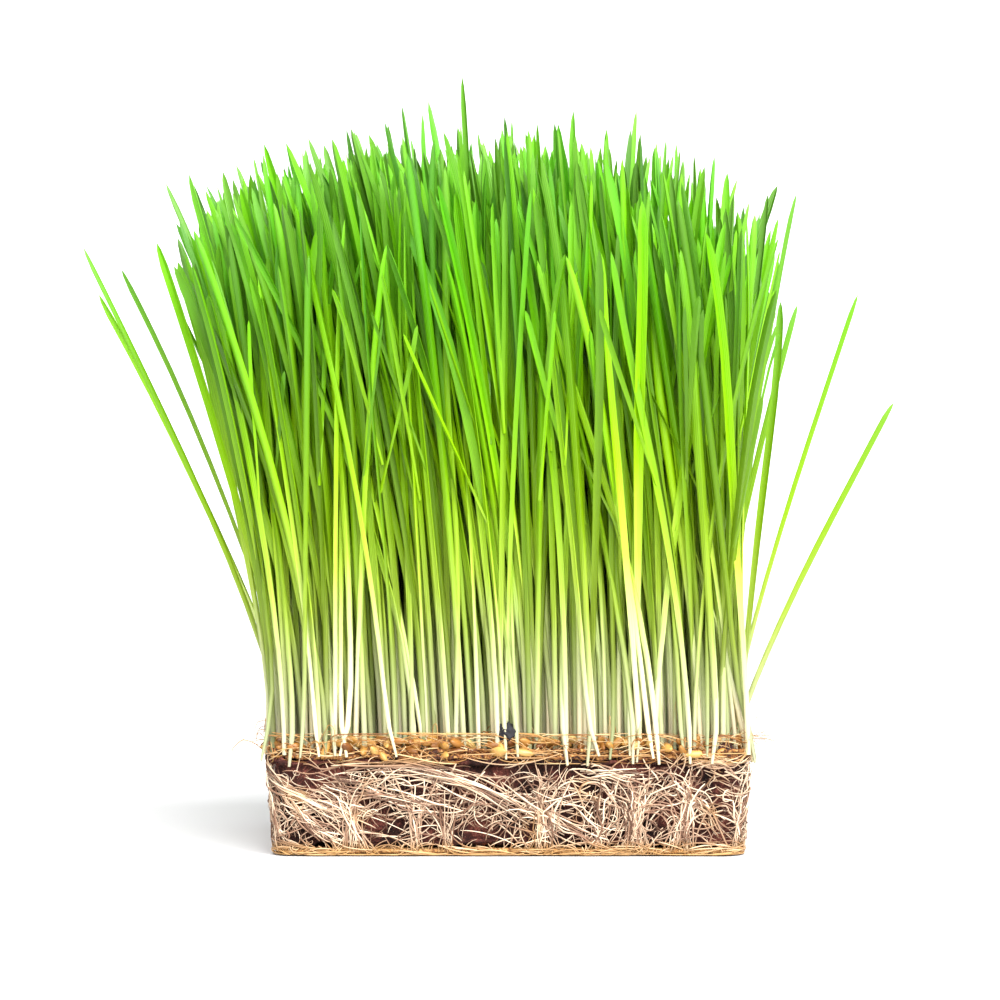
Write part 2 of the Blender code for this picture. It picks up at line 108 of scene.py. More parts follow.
def half_size(height, inset):
    """Half the block's width and depth at a height, drawn in by the draft and by the inset."""
    drawn_in = (RIM_HEIGHT - height) * math.tan(DRAFT) + inset
    return BLOCK_WIDTH / 2 - drawn_in, BLOCK_DEPTH / 2 - drawn_in


def select(piece, kind, wanted):
    """Selects those vertices, edges or faces of a piece in edit mode that are wanted."""
    bpy.ops.mesh.select_mode(type=kind)
    bpy.ops.mesh.select_all(action="DESELECT")
    cage = bmesh.from_edit_mesh(piece.data)
    for part in {"VERT": cage.verts, "EDGE": cage.edges, "FACE": cage.faces}[kind]:
        part.select_set(wanted(part))
    bmesh.update_edit_mesh(piece.data)


def moulded_slab(name, low, high, inset, lower_edge, voxel):
    """A slab of the block between two heights, with its draft and its round edges, in even small faces."""
    half_x, half_y = half_size(high, inset)
    bpy.ops.mesh.primitive_cube_add(size=1.0, location=(0, 0, (low + high) / 2))
    slab = bpy.context.object
    slab.name = name
    slab.scale = (2 * half_x, 2 * half_y, high - low)
    bpy.ops.object.transform_apply(location=True, rotation=True, scale=True)
    bpy.ops.object.mode_set(mode="EDIT")
    select(slab, "EDGE", lambda edge: abs(edge.verts[0].co.z - edge.verts[1].co.z) > (high - low) / 2)
    bpy.ops.mesh.bevel(offset=CORNER_RADIUS, segments=CORNER_STEPS)
    select(slab, "FACE", lambda face: face.normal.z < -0.9)
    foot_x, foot_y = half_size(low, inset)
    bpy.ops.transform.resize(value=(foot_x / half_x, foot_y / half_y, 1.0), center_override=(0, 0, low))
    if lower_edge:
        bpy.ops.mesh.bevel(offset=lower_edge, segments=EDGE_STEPS)
    bpy.ops.object.mode_set(mode="OBJECT")
    remesh = slab.modifiers.new("even faces", "REMESH")
    remesh.mode = "VOXEL"
    remesh.voxel_size = voxel
    bpy.ops.object.modifier_apply(modifier=remesh.name)
    return slab


def roughen(piece, relief):
    """Presses each pattern of a relief into the active piece and shades it smooth."""
    for kind, grain_size, depth in relief:
        texture = bpy.data.textures.new(f"{piece.name} {kind.lower()}", kind)
        texture.noise_scale = grain_size
        displace = piece.modifiers.new("roughness", "DISPLACE")
        displace.texture = texture
        displace.texture_coords = "LOCAL"
        displace.strength = -depth
        displace.mid_level = 0.0
        bpy.ops.object.modifier_apply(modifier=displace.name)
    bpy.ops.object.shade_smooth()


def hand_over(piece, material, slot, *nodes):
    """Gives a finished piece its material and its body, and hides the CAD nodes that it stands for. The slot
    is not used.
    """
    piece.data.materials.append(material)
    bpy.ops.object.select_all(action="DESELECT")
    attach(piece, "root")
    if nodes:
        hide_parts(*nodes)


soil = moulded_slab("growing_medium", SOIL_BASE, LAYER_BASE + SOIL_LAP, SOIL_INSET, SOIL_EDGE, SOIL_VOXEL)
roughen(soil, SOIL_RELIEF)

# Damp peat: matt, dark red-brown and redder on its lumps, with paler grit of under a millimetre. Its almost
# black gaps are painted shade, laid in the hollows of its crumb bump.
peat, tree, shader = new_material("damp peat and coir", 0.85)
place = add_node(tree, "ShaderNodeTexCoord").outputs["Object"]
lumps = add_node(tree, "ShaderNodeTexNoise", {"Vector": place, "Scale": 1 / 0.014, "Detail": 3.0})
crumbs = add_node(
    tree, "ShaderNodeTexNoise", {"Vector": place, "Scale": 1 / 0.0016, "Detail": 6.0, "Roughness": 0.75}
)
grit = add_node(tree, "ShaderNodeTexVoronoi", {"Vector": place, "Scale": 1 / 0.0010})
summed = add_node(
    tree, "ShaderNodeMath", {0: lumps.outputs["Fac"], 1: crumbs.outputs["Fac"]}, operation="ADD"
)
halved = add_node(tree, "ShaderNodeMath", {0: summed.outputs[0], 1: 0.5}, operation="MULTIPLY")
# Painted shade: the near-black end of this ramp falls where the crumb noise sinks, in the hollows of the
# bump, over the peat's own dark red-brown.
browns_and_gap_shade = add_node(
    tree,
    "ShaderNodeValToRGB",
    {"Fac": halved.outputs[0]},
    stops=((0.38, "#0d0504"), (0.46, "#2c110c"), (0.53, "#4e241c"), (0.62, "#8a4d40")),
)
specks = add_node(
    tree,
    "ShaderNodeValToRGB",
    {"Fac": grit.outputs["Distance"]},
    stops=((0.10, "#b08a72"), (0.24, "#000000")),
)
earth = add_node(
    tree,
    "ShaderNodeMix",
    {0: 0.30, 6: browns_and_gap_shade.outputs["Color"], 7: specks.outputs["Color"]},
    data_type="RGBA",
    blend_type="ADD",
)
shader.inputs["Specular IOR Level"].default_value = 0.35
coat(tree, shader, earth.outputs[2], crumbs.outputs["Fac"], strength=0.9, depth=0.0012)
hand_over(soil, peat, "soil", "soil_block")


# Root net: thousands of roots, a third to three quarters of a millimetre thick, that met the tray and grew
# along its wall. They fork up from a felt under the block, sweep across its sides in bundles and weave a web.
# The trunks and sweeps of the front follow the real block, and the rest is drawn at random by the same rule.
FELT_BASE = 0.0004
FELT_TOP = 0.0034
FELT_INSET = 0.0005
FELT_EDGE = 0.0016
FELT_EDGE_TOP = 0.002
FELT_VOXEL = 0.0013
FELT_RELIEF = (("CLOUDS", 0.0030, 0.0010),)
STRAND_STEPS = 10
STRAND_TAPER = 0.45
LOWEST_ROOT = 0.0007
EASE_START = 0.034
EASE_RUN = 0.006
STRAIGHT_STRANDS = 1000
LOOPED_STRANDS = 1050
FAN_PITCH = 0.022
FAN_STRANDS = (10, 26)
FAN_WAVE = 0.0008
TRUNK_PACKING = 0.00009
SWEEP_PITCH = 0.045
SWEEP_HEIGHTS = (0.004, 0.036)
SWEEP_STRIDES = (0.010, 0.024)
SWEEP_STRANDS = (24, 50)
SWEEP_WAVE = 0.0009
SWEEP_PLAY = 0.0036
FRONT_PLAY = (0.0034, 0.0026, 0.0034, 0.0050)
FRONT_FULLNESS = 1.3
EDGE_STRANDS = 300
RIM_STRANDS = 24
UNDER_STRANDS = 560
UNDER_REACH = 0.035
UNDER_INSET = 0.005
UNDER_TURN = 0.9
UNDER_LEVEL = (0.0004, 0.0009)
BUNDLE_THICKNESS = (0.00034, 0.00072)
BAND_THICKNESS = (0.00035, 0.0006)
UNDER_THICKNESS = (0.0004, 0.0007)
# Finer roots have the shape and the scale of a gamma spread: their mean thickness is the product.
WEB_THICKNESS = (9.0, 0.000058)
LOOP_THICKNESS = (9.0, 0.000052)
ROOT_SEED = 5
WIDE_RUN = BLOCK_WIDTH - 2 * CORNER_RADIUS
DEEP_RUN = BLOCK_DEPTH - 2 * CORNER_RADIUS
CORNER_RUN = math.pi / 2 * CORNER_RADIUS
# Each stretch of the block's outline from the left end of its front: its length, then the centre of its
# corner circle, in half widths and half depths, at its start and its end, then the angle it faces at both.
OUTLINE = np.array(
    (
        (WIDE_RUN, -1, -1, 1, -1, -90, -90),
        (CORNER_RUN, 1, -1, 1, -1, -90, 0),
        (DEEP_RUN, 1, -1, 1, 1, 0, 0),
        (CORNER_RUN, 1, 1, 1, 1, 0, 90),
        (WIDE_RUN, 1, 1, -1, 1, 90, 90),
        (CORNER_RUN, -1, 1, -1, 1, 90, 180),
        (DEEP_RUN, -1, 1, -1, -1, 180, 180),
        (CORNER_RUN, -1, -1, -1, -1, 180, 270),
    )
)
AROUND = OUTLINE[:, 0].sum()
# Trunks on the front: the distance of each from its middle, and how many roots it holds.
FRONT_TRUNKS = ((-0.059, 30), (-0.035, 12), (-0.024, 16), (0.013, 26), (0.035, 14), (0.046, 46), (0.066, 26))
# Swept bundles on the front: distance from its middle and height at four points, then how many roots.
FRONT_SWEEPS = (
    ((-0.058, 0.026), (-0.040, 0.043), (-0.005, 0.024), (0.026, 0.003), 30),
    ((-0.066, 0.027), (-0.045, 0.021), (-0.030, 0.018), (-0.008, 0.015), 14),
    ((-0.087, 0.024), (-0.078, 0.012), (-0.070, 0.007), (-0.056, 0.002), 22),
    ((0.064, 0.033), (0.074, 0.039), (0.082, 0.029), (0.092, 0.036), 24),
    ((0.060, 0.027), (0.070, 0.022), (0.076, 0.014), (0.086, 0.005), 18),
    ((0.022, 0.029), (0.034, 0.034), (0.046, 0.026), (0.060, 0.032), 16),
    ((-0.084, 0.035), (-0.070, 0.030), (-0.050, 0.030), (-0.026, 0.036), 10),
    ((0.000, 0.020), (0.014, 0.015), (0.026, 0.008), (0.040, 0.002), 16),
)
growth = np.random.default_rng(ROOT_SEED)


def side_points(along, height, inset):
    """Places on the block's side and the way out at each, by the distance along it from mid-front."""
    ends = np.cumsum(OUTLINE[:, 0])
    reached = (along + WIDE_RUN / 2) % AROUND
    stretch = np.minimum(np.searchsorted(ends, reached, side="right"), len(OUTLINE) - 1)
    length, x0, y0, x1, y1, angle0, angle1 = np.moveaxis(OUTLINE[stretch], -1, 0)
    share = (reached - ends[stretch] + length) / length
    half_x, half_y = half_size(height, inset)
    angle = np.radians(angle0 + (angle1 - angle0) * share)
    out = np.stack([np.cos(angle), np.sin(angle), np.zeros_like(angle)], -1)
    x = (half_x - CORNER_RADIUS) * (x0 + (x1 - x0) * share) + CORNER_RADIUS * out[..., 0]
    y = (half_y - CORNER_RADIUS) * (y0 + (y1 - y0) * share) + CORNER_RADIUS * out[..., 1]
    return np.stack([x, y, height], -1), out


def ringed_rod(name, sides, steps, closed_tip=False):
    """The mesh of a rod along Z, a metre thick and with a ring at each metre, to be laid along paths."""
    bpy.ops.mesh.primitive_circle_add(vertices=sides, radius=0.5, fill_type="NGON")
    rod = bpy.context.object
    bpy.ops.object.mode_set(mode="EDIT")
    bpy.ops.mesh.select_all(action="SELECT")
    for _ in range(steps):
        bpy.ops.mesh.extrude_region_move(TRANSFORM_OT_translate={"value": (0, 0, 1.0)})
    if closed_tip:
        bpy.ops.mesh.merge(type="CENTER")
    bpy.ops.mesh.select_all(action="SELECT")
    bpy.ops.mesh.normals_make_consistent(inside=False)
    bpy.ops.object.mode_set(mode="OBJECT")
    mesh = rod.data
    mesh.name = name
    bpy.data.objects.remove(rod)
    return mesh


def points_of(mesh):
    """The places of a mesh's points."""
    points = np.empty(len(mesh.vertices) * 3)
    mesh.vertices.foreach_get("co", points)
    return points.reshape(-1, 3)


def repeated(name, template, places, sharp_over=None, **attributes):
    """An object with one copy of the template for each set of places, of the shape (copies, points, 3)."""
    copies, count = places.shape[:2]
    loops = np.empty(len(template.loops), np.int32)
    starts = np.empty(len(template.polygons), np.int32)
    template.loops.foreach_get("vertex_index", loops)
    template.polygons.foreach_get("loop_start", starts)
    copy_number = np.arange(copies, dtype=np.int32)[:, None]
    mesh = bpy.data.meshes.new(name)
    mesh.vertices.add(copies * count)
    mesh.vertices.foreach_set("co", places.astype(np.float32).ravel())
    mesh.loops.add(copies * len(loops))
    mesh.loops.foreach_set("vertex_index", (loops + copy_number * count).ravel())
    mesh.polygons.add(copies * len(starts))
    mesh.polygons.foreach_set("loop_start", (starts + copy_number * len(loops)).ravel())
    mesh.update(calc_edges=True)
    for label, values in attributes.items():
        attribute = mesh.attributes.new(label, "FLOAT", "POINT")
        every = np.broadcast_to(values, (copies, count)).astype(np.float32)
        attribute.data.foreach_set("value", every.ravel())
    mesh.shade_smooth()
    if sharp_over:
        mesh.set_sharp_from_angle(angle=math.radians(sharp_over))
    piece = bpy.data.objects.new(name, mesh)
    bpy.context.scene.collection.objects.link(piece)
    return piece


def unit(vectors):
    """The vectors at a length of one."""
    return vectors / (np.linalg.norm(vectors, axis=-1, keepdims=True) + 1e-12)


def strands(name, template, paths, out, thickness):
    """Roots of that thickness along the paths, thinner at both ends."""
    points = points_of(template)
    ring = np.rint(points[:, 2]).astype(int)
    ahead = unit(np.gradient(paths, axis=1))
    square = unit(out - ahead * (out * ahead).sum(-1, keepdims=True))
    across = np.cross(square, ahead)
    taper = 1 - STRAND_TAPER * np.abs(np.linspace(-1, 1, paths.shape[1])) ** 3
    width = (thickness[:, None] * taper)[:, ring, None]
    side = across[:, ring] * points[None, :, 0, None] + square[:, ring] * points[None, :, 1, None]
    tone = growth.uniform(0, 1, (len(paths), 1))
    return repeated(name, template, paths[:, ring] + side * width, tone=tone)


def bent(start, first, second, end, wave, begin=0.0, finish=1.0):
    """Routes from start to end by way of first and second, each with a slow wave of its own across it."""
    t = np.linspace(begin, finish, STRAND_STEPS + 1).T.reshape(-1, STRAND_STEPS + 1, 1)
    route = start[:, None] * (1 - t) ** 3 + first[:, None] * 3 * t * (1 - t) ** 2
    route = route + second[:, None] * 3 * t**2 * (1 - t) + end[:, None] * t**3
    phase = growth.uniform(0, math.tau, (len(start), 1, start.shape[1]))
    beats = growth.uniform(0.5, 3.0, (len(start), 1, start.shape[1]))
    return route + wave * np.sin(math.tau * beats * t + phase)


def bundle(corners, count, loose):
    """Roots that run together by four (distance, height) corners, with how loose they are at each."""
    spread = [
        np.array(corner) + growth.normal(0, 1, (count, 2)) * play for corner, play in zip(corners, loose)
    ]
    begin = growth.uniform(0, 0.5, count)
    return bent(*spread, SWEEP_WAVE, begin, begin + growth.uniform(0.35, 0.5, count))


def fan(foot, count):
    """A trunk that rises from the felt and opens into a fan."""
    fork = growth.uniform(0.008, 0.017)
    ways = growth.normal(0, growth.uniform(0.006, 0.011), count)
    trunk_width = TRUNK_PACKING * count
    start_along = foot + growth.normal(0, trunk_width * 1.3, count)
    start = np.stack([start_along, growth.uniform(0.001, 0.003, count)], -1)
    first = np.stack([foot + growth.normal(0, trunk_width * 0.8, count), np.full(count, fork)], -1)
    second = first + np.stack([ways * 0.3, growth.uniform(0.005, 0.012, count)], -1)
    rise = np.clip(growth.uniform(0.020, 0.037, count) - np.abs(ways) * 0.5, 0.004, 0.037)
    end = np.stack([foot + ways * 1.5, rise], -1)
    return bent(start, first, second, end, FAN_WAVE)


def wandering(count, low, high, slant, length, turning):
    """Single roots on arcs of their own, that start between two heights and keep to a slant."""
    route = [np.stack([growth.uniform(0, AROUND, count), growth.uniform(low, high, count)], -1)]
    heading = growth.normal(0, slant, count) + np.where(growth.random(count) < 0.5, 0.0, math.pi)
    length = growth.gamma(5.0, length / 5.0, count)
    turning = growth.normal(0, turning, count)
    for step in range(STRAND_STEPS):
        way = heading + turning * (step / STRAND_STEPS - 0.5)
        stride = np.stack([np.cos(way), np.sin(way)], -1) * length[:, None] / STRAND_STEPS
        route.append(route[-1] + stride)
    return np.stack(route, 1)


def laid_on_side(routes, shallow, deep):
    """Routes by (distance, height) as places on the block's side, each weaving between two depths."""
    t = np.linspace(0, 1, routes.shape[1])
    phase = growth.uniform(0, math.tau, (len(routes), 1))
    beats = growth.uniform(0.5, 2.0, (len(routes), 1))
    level = growth.uniform(0, 0.5, (len(routes), 1))
    depth = shallow + (deep - shallow) * (level + 0.25 + 0.25 * np.sin(math.tau * beats * t + phase))
    height = np.clip(routes[..., 1], LOWEST_ROOT, None)
    eased = EASE_START + EASE_RUN * np.tanh((height - EASE_START) / EASE_RUN)
    height = np.where(height > EASE_START, eased, height)
    lower_edge = np.clip((FELT_EDGE_TOP - height) / FELT_EDGE_TOP, 0, 1) ** 2 * FELT_EDGE
    return side_points(routes[..., 0], height, depth + lower_edge)


felt = moulded_slab("root_felt", FELT_BASE, FELT_TOP, FELT_INSET, FELT_EDGE, FELT_VOXEL)
roughen(felt, FELT_RELIEF)
strand_rod = ringed_rod("root strand", 4, STRAND_STEPS)
fine_rod = ringed_rod("fine root strand", 3, STRAND_STEPS)

routes = [fan(foot, count) for foot, count in FRONT_TRUNKS]
for foot in np.arange(WIDE_RUN / 2 + 0.008, AROUND - WIDE_RUN / 2, FAN_PITCH):
    routes.append(fan(foot + growth.uniform(-0.4, 0.4) * FAN_PITCH, int(growth.integers(*FAN_STRANDS))))
for *corners, count in FRONT_SWEEPS:
    routes.append(bundle(corners, int(FRONT_FULLNESS * count), FRONT_PLAY))
for reach in np.arange(WIDE_RUN / 2, AROUND - WIDE_RUN / 2, SWEEP_PITCH):
    heights = growth.uniform(*SWEEP_HEIGHTS, 4)
    corners = np.stack([reach + np.cumsum(growth.uniform(*SWEEP_STRIDES, 4)), heights], -1)
    routes.append(bundle(corners, int(growth.integers(*SWEEP_STRANDS)), (SWEEP_PLAY,) * 4))
routes = np.concatenate(routes)
paths, out = laid_on_side(routes, shallow=-0.0001, deep=0.0014)
thickness = growth.uniform(*BUNDLE_THICKNESS, len(paths))
bundles = strands("root_bundles", strand_rod, paths, out, thickness)

routes = wandering(STRAIGHT_STRANDS, 0.001, 0.033, slant=0.8, length=0.016, turning=1.9)
paths, out = laid_on_side(routes, shallow=0.0001, deep=0.0018)
straight = strands("root_web", fine_rod, paths, out, growth.gamma(*WEB_THICKNESS, len(paths)))
routes = wandering(LOOPED_STRANDS, 0.001, 0.031, slant=1.6, length=0.012, turning=4.2)
paths, out = laid_on_side(routes, shallow=0.0001, deep=0.0019)
looped = strands("root_loops", fine_rod, paths, out, growth.gamma(*LOOP_THICKNESS, len(paths)))

edge_routes = wandering(EDGE_STRANDS, 0.0006, 0.0036, slant=0.17, length=0.014, turning=0.90)
rim_routes = wandering(RIM_STRANDS, 0.0370, 0.0415, slant=0.10, length=0.030, turning=0.45)
routes = np.concatenate([edge_routes, rim_routes])
paths, out = laid_on_side(routes, shallow=-0.0002, deep=0.0008)
bands = strands("root_bands", strand_rod, paths, out, growth.uniform(*BAND_THICKNESS, len(paths)))

under_x, under_y = half_size(0.0, UNDER_INSET)
under_turn = growth.normal(0, UNDER_TURN, UNDER_STRANDS)
under_way = growth.uniform(0, math.tau, UNDER_STRANDS)
route = [growth.uniform(-1, 1, (UNDER_STRANDS, 2)) * (under_x, under_y)]
for step in range(STRAND_STEPS):
    way = under_way + under_turn * step / STRAND_STEPS
    route.append(route[-1] + np.stack([np.cos(way), np.sin(way)], -1) * UNDER_REACH / STRAND_STEPS)
route = np.clip(np.stack(route, 1), (-under_x, -under_y), (under_x, under_y))
level = np.broadcast_to(growth.uniform(*UNDER_LEVEL, (UNDER_STRANDS, 1, 1)), (*route.shape[:2], 1))
paths = np.concatenate([route, level], -1)
out = np.broadcast_to((0.0, 0.0, -1.0), paths.shape)
thickness = growth.uniform(*UNDER_THICKNESS, len(paths))
under = strands("root_felt_strands", fine_rod, paths, out, thickness)

# Living root: matt, cream to brown from one root to the next, and tan near the felt, near the rim and in
# patches where it is older.
root, tree, shader = new_material("living barley root", 0.55)
tone = add_node(tree, "ShaderNodeAttribute", attribute_name="tone").outputs["Fac"]
place = add_node(tree, "ShaderNodeTexCoord").outputs["Object"]
height = add_node(tree, "ShaderNodeSeparateXYZ", {"Vector": place}).outputs["Z"]
creams = add_node(
    tree,
    "ShaderNodeValToRGB",
    {"Fac": tone},
    stops=((0.0, "#553726"), (0.25, "#8b664f"), (0.55, "#bea085"), (1.0, "#edd8bc")),
)
blotches = add_node(tree, "ShaderNodeTexNoise", {"Vector": place, "Scale": 1 / 0.016, "Detail": 2.0})
near_felt = add_node(
    tree, "ShaderNodeMapRange", {"Value": height, "From Min": 0.0065, "From Max": 0.0010, "To Max": 0.85}
)
near_rim = add_node(
    tree, "ShaderNodeMapRange", {"Value": height, "From Min": 0.0325, "From Max": 0.0380, "To Max": 0.75}
)
older = add_node(
    tree,
    "ShaderNodeMapRange",
    {"Value": blotches.outputs["Fac"], "From Min": 0.56, "From Max": 0.74, "To Max": 0.4},
)
ends = add_node(
    tree, "ShaderNodeMath", {0: near_felt.outputs[0], 1: near_rim.outputs[0]}, operation="MAXIMUM"
)
aged = add_node(tree, "ShaderNodeMath", {0: ends.outputs[0], 1: older.outputs[0]}, operation="MAXIMUM")
stained = add_node(
    tree,
    "ShaderNodeMix",
    {0: aged.outputs[0], 6: creams.outputs["Color"], 7: linear("#c89a5c")},
    data_type="RGBA",
)
coat(tree, shader, stained.outputs[2])
for piece in (bundles, straight, looped, bands, under):
    hand_over(piece, root, "root", "root_net")

# Root felt: roots matted flat on the tray's floor, brown to tan, matt and fibrous.
matted, tree, shader = new_material("matted root felt", 0.8)
place = add_node(tree, "ShaderNodeTexCoord").outputs["Object"]
fibres = add_node(
    tree, "ShaderNodeTexNoise", {"Vector": place, "Scale": 1 / 0.0016, "Detail": 6.0, "Distortion": 1.5}
)
tans = add_node(
    tree,
    "ShaderNodeValToRGB",
    {"Fac": fibres.outputs["Fac"]},
    stops=((0.34, "#5f371e"), (0.46, "#a06c36"), (0.58, "#c4975c"), (0.70, "#dcb982")),
)
coat(tree, shader, tans.outputs["Color"], fibres.outputs["Fac"], strength=0.8, depth=0.0008)
hand_over(felt, matted, "root", "root_net")


# Seed layer: the sown grains, swollen and sprouted, on a mat of husks, root hairs and young roots.
# Each grain is about 8 mm long, straw to amber, with a crease down one side and a point at both ends.
SEED_MAT_LAP = 0.0010
SEED_MAT_DROP = 0.0004
SEED_MAT_INSET = 0.0006
SEED_MAT_VOXEL = 0.0011
SEED_MAT_RELIEF = (("VORONOI", 0.0050, 0.0026), ("CLOUDS", 0.0022, 0.0014))
GRAIN_SIZE = (0.0040, 0.0034, 0.0082)
GRAIN_SCALE = (0.72, 1.02)
GRAIN_PITCH = 0.45
# The point at each end and the crease, in shares of the grain's length and thickness.
POINT_SHARE = 0.07
CREASE_SHARE = 0.13
# Grains near the rim stand deeper in the side than those on top, and the others lie within a spread.
RIM_GRAINS = 360
RIM_GRAIN_INSET = 0.0012
RIM_SHOULDER = 0.004
TOP_RISE = (-0.0004, 0.0016)
SIDE_RISE = (-0.0036, 0.0012)
INNER_GRAINS = 200
INNER_SPREAD = (0.080, 0.055, 0.0008)
RIM_HAIRS = 700
HAIR_MIDDLE = 0.0395
HAIR_BAND = 0.0055
STANDING_HAIRS = 300
HAIR_FOOT = 0.0385
RIM_HAIR_THICKNESS = (8.0, 0.000048)
STANDING_HAIR_THICKNESS = (8.0, 0.000038)
# Lifted crumbs: the distance along the side from mid-front, the height, the radius and the palest colour.
LUMPS = (
    (-0.0010, 0.0450, 0.0064, "#1c1a26"),
    (0.0835, 0.0390, 0.0052, "#6b3a33"),
)
LUMP_INSET = 0.0044
LUMP_RELIEF = (("CLOUDS", 0.0045, 0.0036), ("CLOUDS", 0.0014, 0.0014))

seed_mat = moulded_slab(
    "seed_mat", LAYER_BASE - SEED_MAT_LAP, RIM_HEIGHT - SEED_MAT_DROP, SEED_MAT_INSET, 0.0, SEED_MAT_VOXEL
)
roughen(seed_mat, SEED_MAT_RELIEF)

bpy.ops.mesh.primitive_uv_sphere_add(segments=8, ring_count=7, radius=0.5)
grain = bpy.context.object
bpy.ops.object.mode_set(mode="EDIT")
for pole in (-1, 1):
    select(grain, "VERT", lambda spot: spot.co.z * pole > 0.49)
    bpy.ops.transform.translate(value=(0, 0, pole * POINT_SHARE))
select(grain, "VERT", lambda spot: spot.co.y > 0.2 and abs(spot.co.x) < 0.05 and abs(spot.co.z) < 0.42)
bpy.ops.transform.translate(value=(0, -CREASE_SHARE, 0))
bpy.ops.object.mode_set(mode="OBJECT")
grain_shape = grain.data
bpy.data.objects.remove(grain)


def turned(points, heading, pitch, roll):
    """Copies of the points, which lie along Z, rolled, laid down towards their headings and pitched."""
    cos_r, sin_r, cos_p, sin_p, cos_h, sin_h = (
        turn(angle)[:, None] for angle in (roll, pitch, heading) for turn in (np.cos, np.sin)
    )
    x = points[:, 0] * cos_r - points[:, 1] * sin_r
    y = points[:, 0] * sin_r + points[:, 1] * cos_r
    ahead = points[:, 2] * cos_p - y * sin_p
    up = points[:, 2] * sin_p + y * cos_p
    return np.stack([ahead * cos_h - x * sin_h, ahead * sin_h + x * cos_h, up], -1)


inset = RIM_GRAIN_INSET + growth.gamma(1.6, 0.0030, RIM_GRAINS)
on_top = inset > RIM_SHOULDER
height = RIM_HEIGHT + np.where(on_top, growth.uniform(*TOP_RISE, RIM_GRAINS), 0)
height = height + np.where(on_top, 0, growth.uniform(*SIDE_RISE, RIM_GRAINS))
rim_places, _ = side_points(growth.uniform(0, AROUND, RIM_GRAINS), height, inset)
inner = growth.uniform(-1, 1, (INNER_GRAINS, 3)) * INNER_SPREAD + (0, 0, RIM_HEIGHT)
places = np.concatenate([rim_places, inner])
grain_points = points_of(grain_shape)
copies = turned(
    grain_points * GRAIN_SIZE,
    growth.uniform(0, math.tau, len(places)),
    growth.normal(0, GRAIN_PITCH, len(places)),
    growth.uniform(0, math.tau, len(places)),
)
copies = copies * growth.uniform(*GRAIN_SCALE, (len(places), 1, 1)) + places[:, None]
tone = growth.uniform(0, 1, (len(places), 1))
grains = repeated("barley_grains", grain_shape, copies, tone=tone, along=grain_points[:, 2])

routes = wandering(RIM_HAIRS, 0.0355, 0.0425, slant=0.35, length=0.020, turning=1.6)
t = np.linspace(0, 1, STRAND_STEPS + 1)
depth = growth.gamma(1.5, 0.0016, (RIM_HAIRS, 1)) - 0.0003 + growth.uniform(0, 0.004, (RIM_HAIRS, 1)) * t
height = HAIR_MIDDLE + HAIR_BAND * np.tanh((routes[..., 1] - HAIR_MIDDLE) / HAIR_BAND)
paths, out = side_points(routes[..., 0], height, depth)
rim_hairs = strands("seed_roots", fine_rod, paths, out, growth.gamma(*RIM_HAIR_THICKNESS, len(paths)))

foot, out = side_points(
    growth.uniform(0, AROUND, STANDING_HAIRS),
    np.full(STANDING_HAIRS, HAIR_FOOT),
    growth.gamma(1.5, 0.0035, STANDING_HAIRS),
)
away = growth.normal(0, 0.006, (STANDING_HAIRS, 3)) + out * 0.0015
arch = foot + away * 0.5 + np.array((0, 0, 1)) * growth.gamma(3.0, 0.0016, (STANDING_HAIRS, 1))
paths = bent(foot, arch, arch + away * 0.4, foot + away * (1, 1, 0.3), 0.0003)
out = np.broadcast_to(out[:, None], paths.shape)
thickness = growth.gamma(*STANDING_HAIR_THICKNESS, len(paths))
loose_hairs = strands("loose_seed_roots", fine_rod, paths, out, thickness)

# Barley husk: straw to amber, satin and finely blotched, with a darker point where it sprouted.
husk, tree, shader = new_material("swollen barley husk", 0.42)
tone = add_node(tree, "ShaderNodeAttribute", attribute_name="tone").outputs["Fac"]
along = add_node(tree, "ShaderNodeAttribute", attribute_name="along").outputs["Fac"]
place = add_node(tree, "ShaderNodeTexCoord").outputs["Object"]
ambers = add_node(
    tree,
    "ShaderNodeValToRGB",
    {"Fac": tone},
    stops=((0.0, "#673812"), (0.3, "#936024"), (0.7, "#ba8a42"), (1.0, "#d8b46c")),
)
blotches = add_node(tree, "ShaderNodeTexNoise", {"Vector": place, "Scale": 1 / 0.0012, "Detail": 4.0})
to_point = add_node(
    tree, "ShaderNodeMapRange", {"Value": along, "From Min": 0.25, "From Max": 0.55, "To Max": 0.7}
)
shaded = add_node(
    tree, "ShaderNodeMath", {0: to_point.outputs[0], 1: blotches.outputs["Fac"]}, operation="MULTIPLY"
)
skin = add_node(
    tree,
    "ShaderNodeMix",
    {0: shaded.outputs[0], 6: ambers.outputs["Color"], 7: linear("#7c4416")},
    data_type="RGBA",
)
coat(tree, shader, skin.outputs[2], blotches.outputs["Fac"], strength=0.4, depth=0.0003)
hand_over(grains, husk, "grain", "seed_layer")

# Young seed roots: brown gold to cream from one to the next, thin and slightly glossy.
seed_root, tree, shader = new_material("golden seed root", 0.45)
tone = add_node(tree, "ShaderNodeAttribute", attribute_name="tone").outputs["Fac"]
golds = add_node(
    tree,
    "ShaderNodeValToRGB",
    {"Fac": tone},
    stops=((0.0, "#7c4519"), (0.3, "#ac7638"), (0.7, "#c9a066"), (1.0, "#e4cca0")),
)
coat(tree, shader, golds.outputs["Color"])
for piece in (rim_hairs, loose_hairs):
    hand_over(piece, seed_root, "grain", "seed_layer")
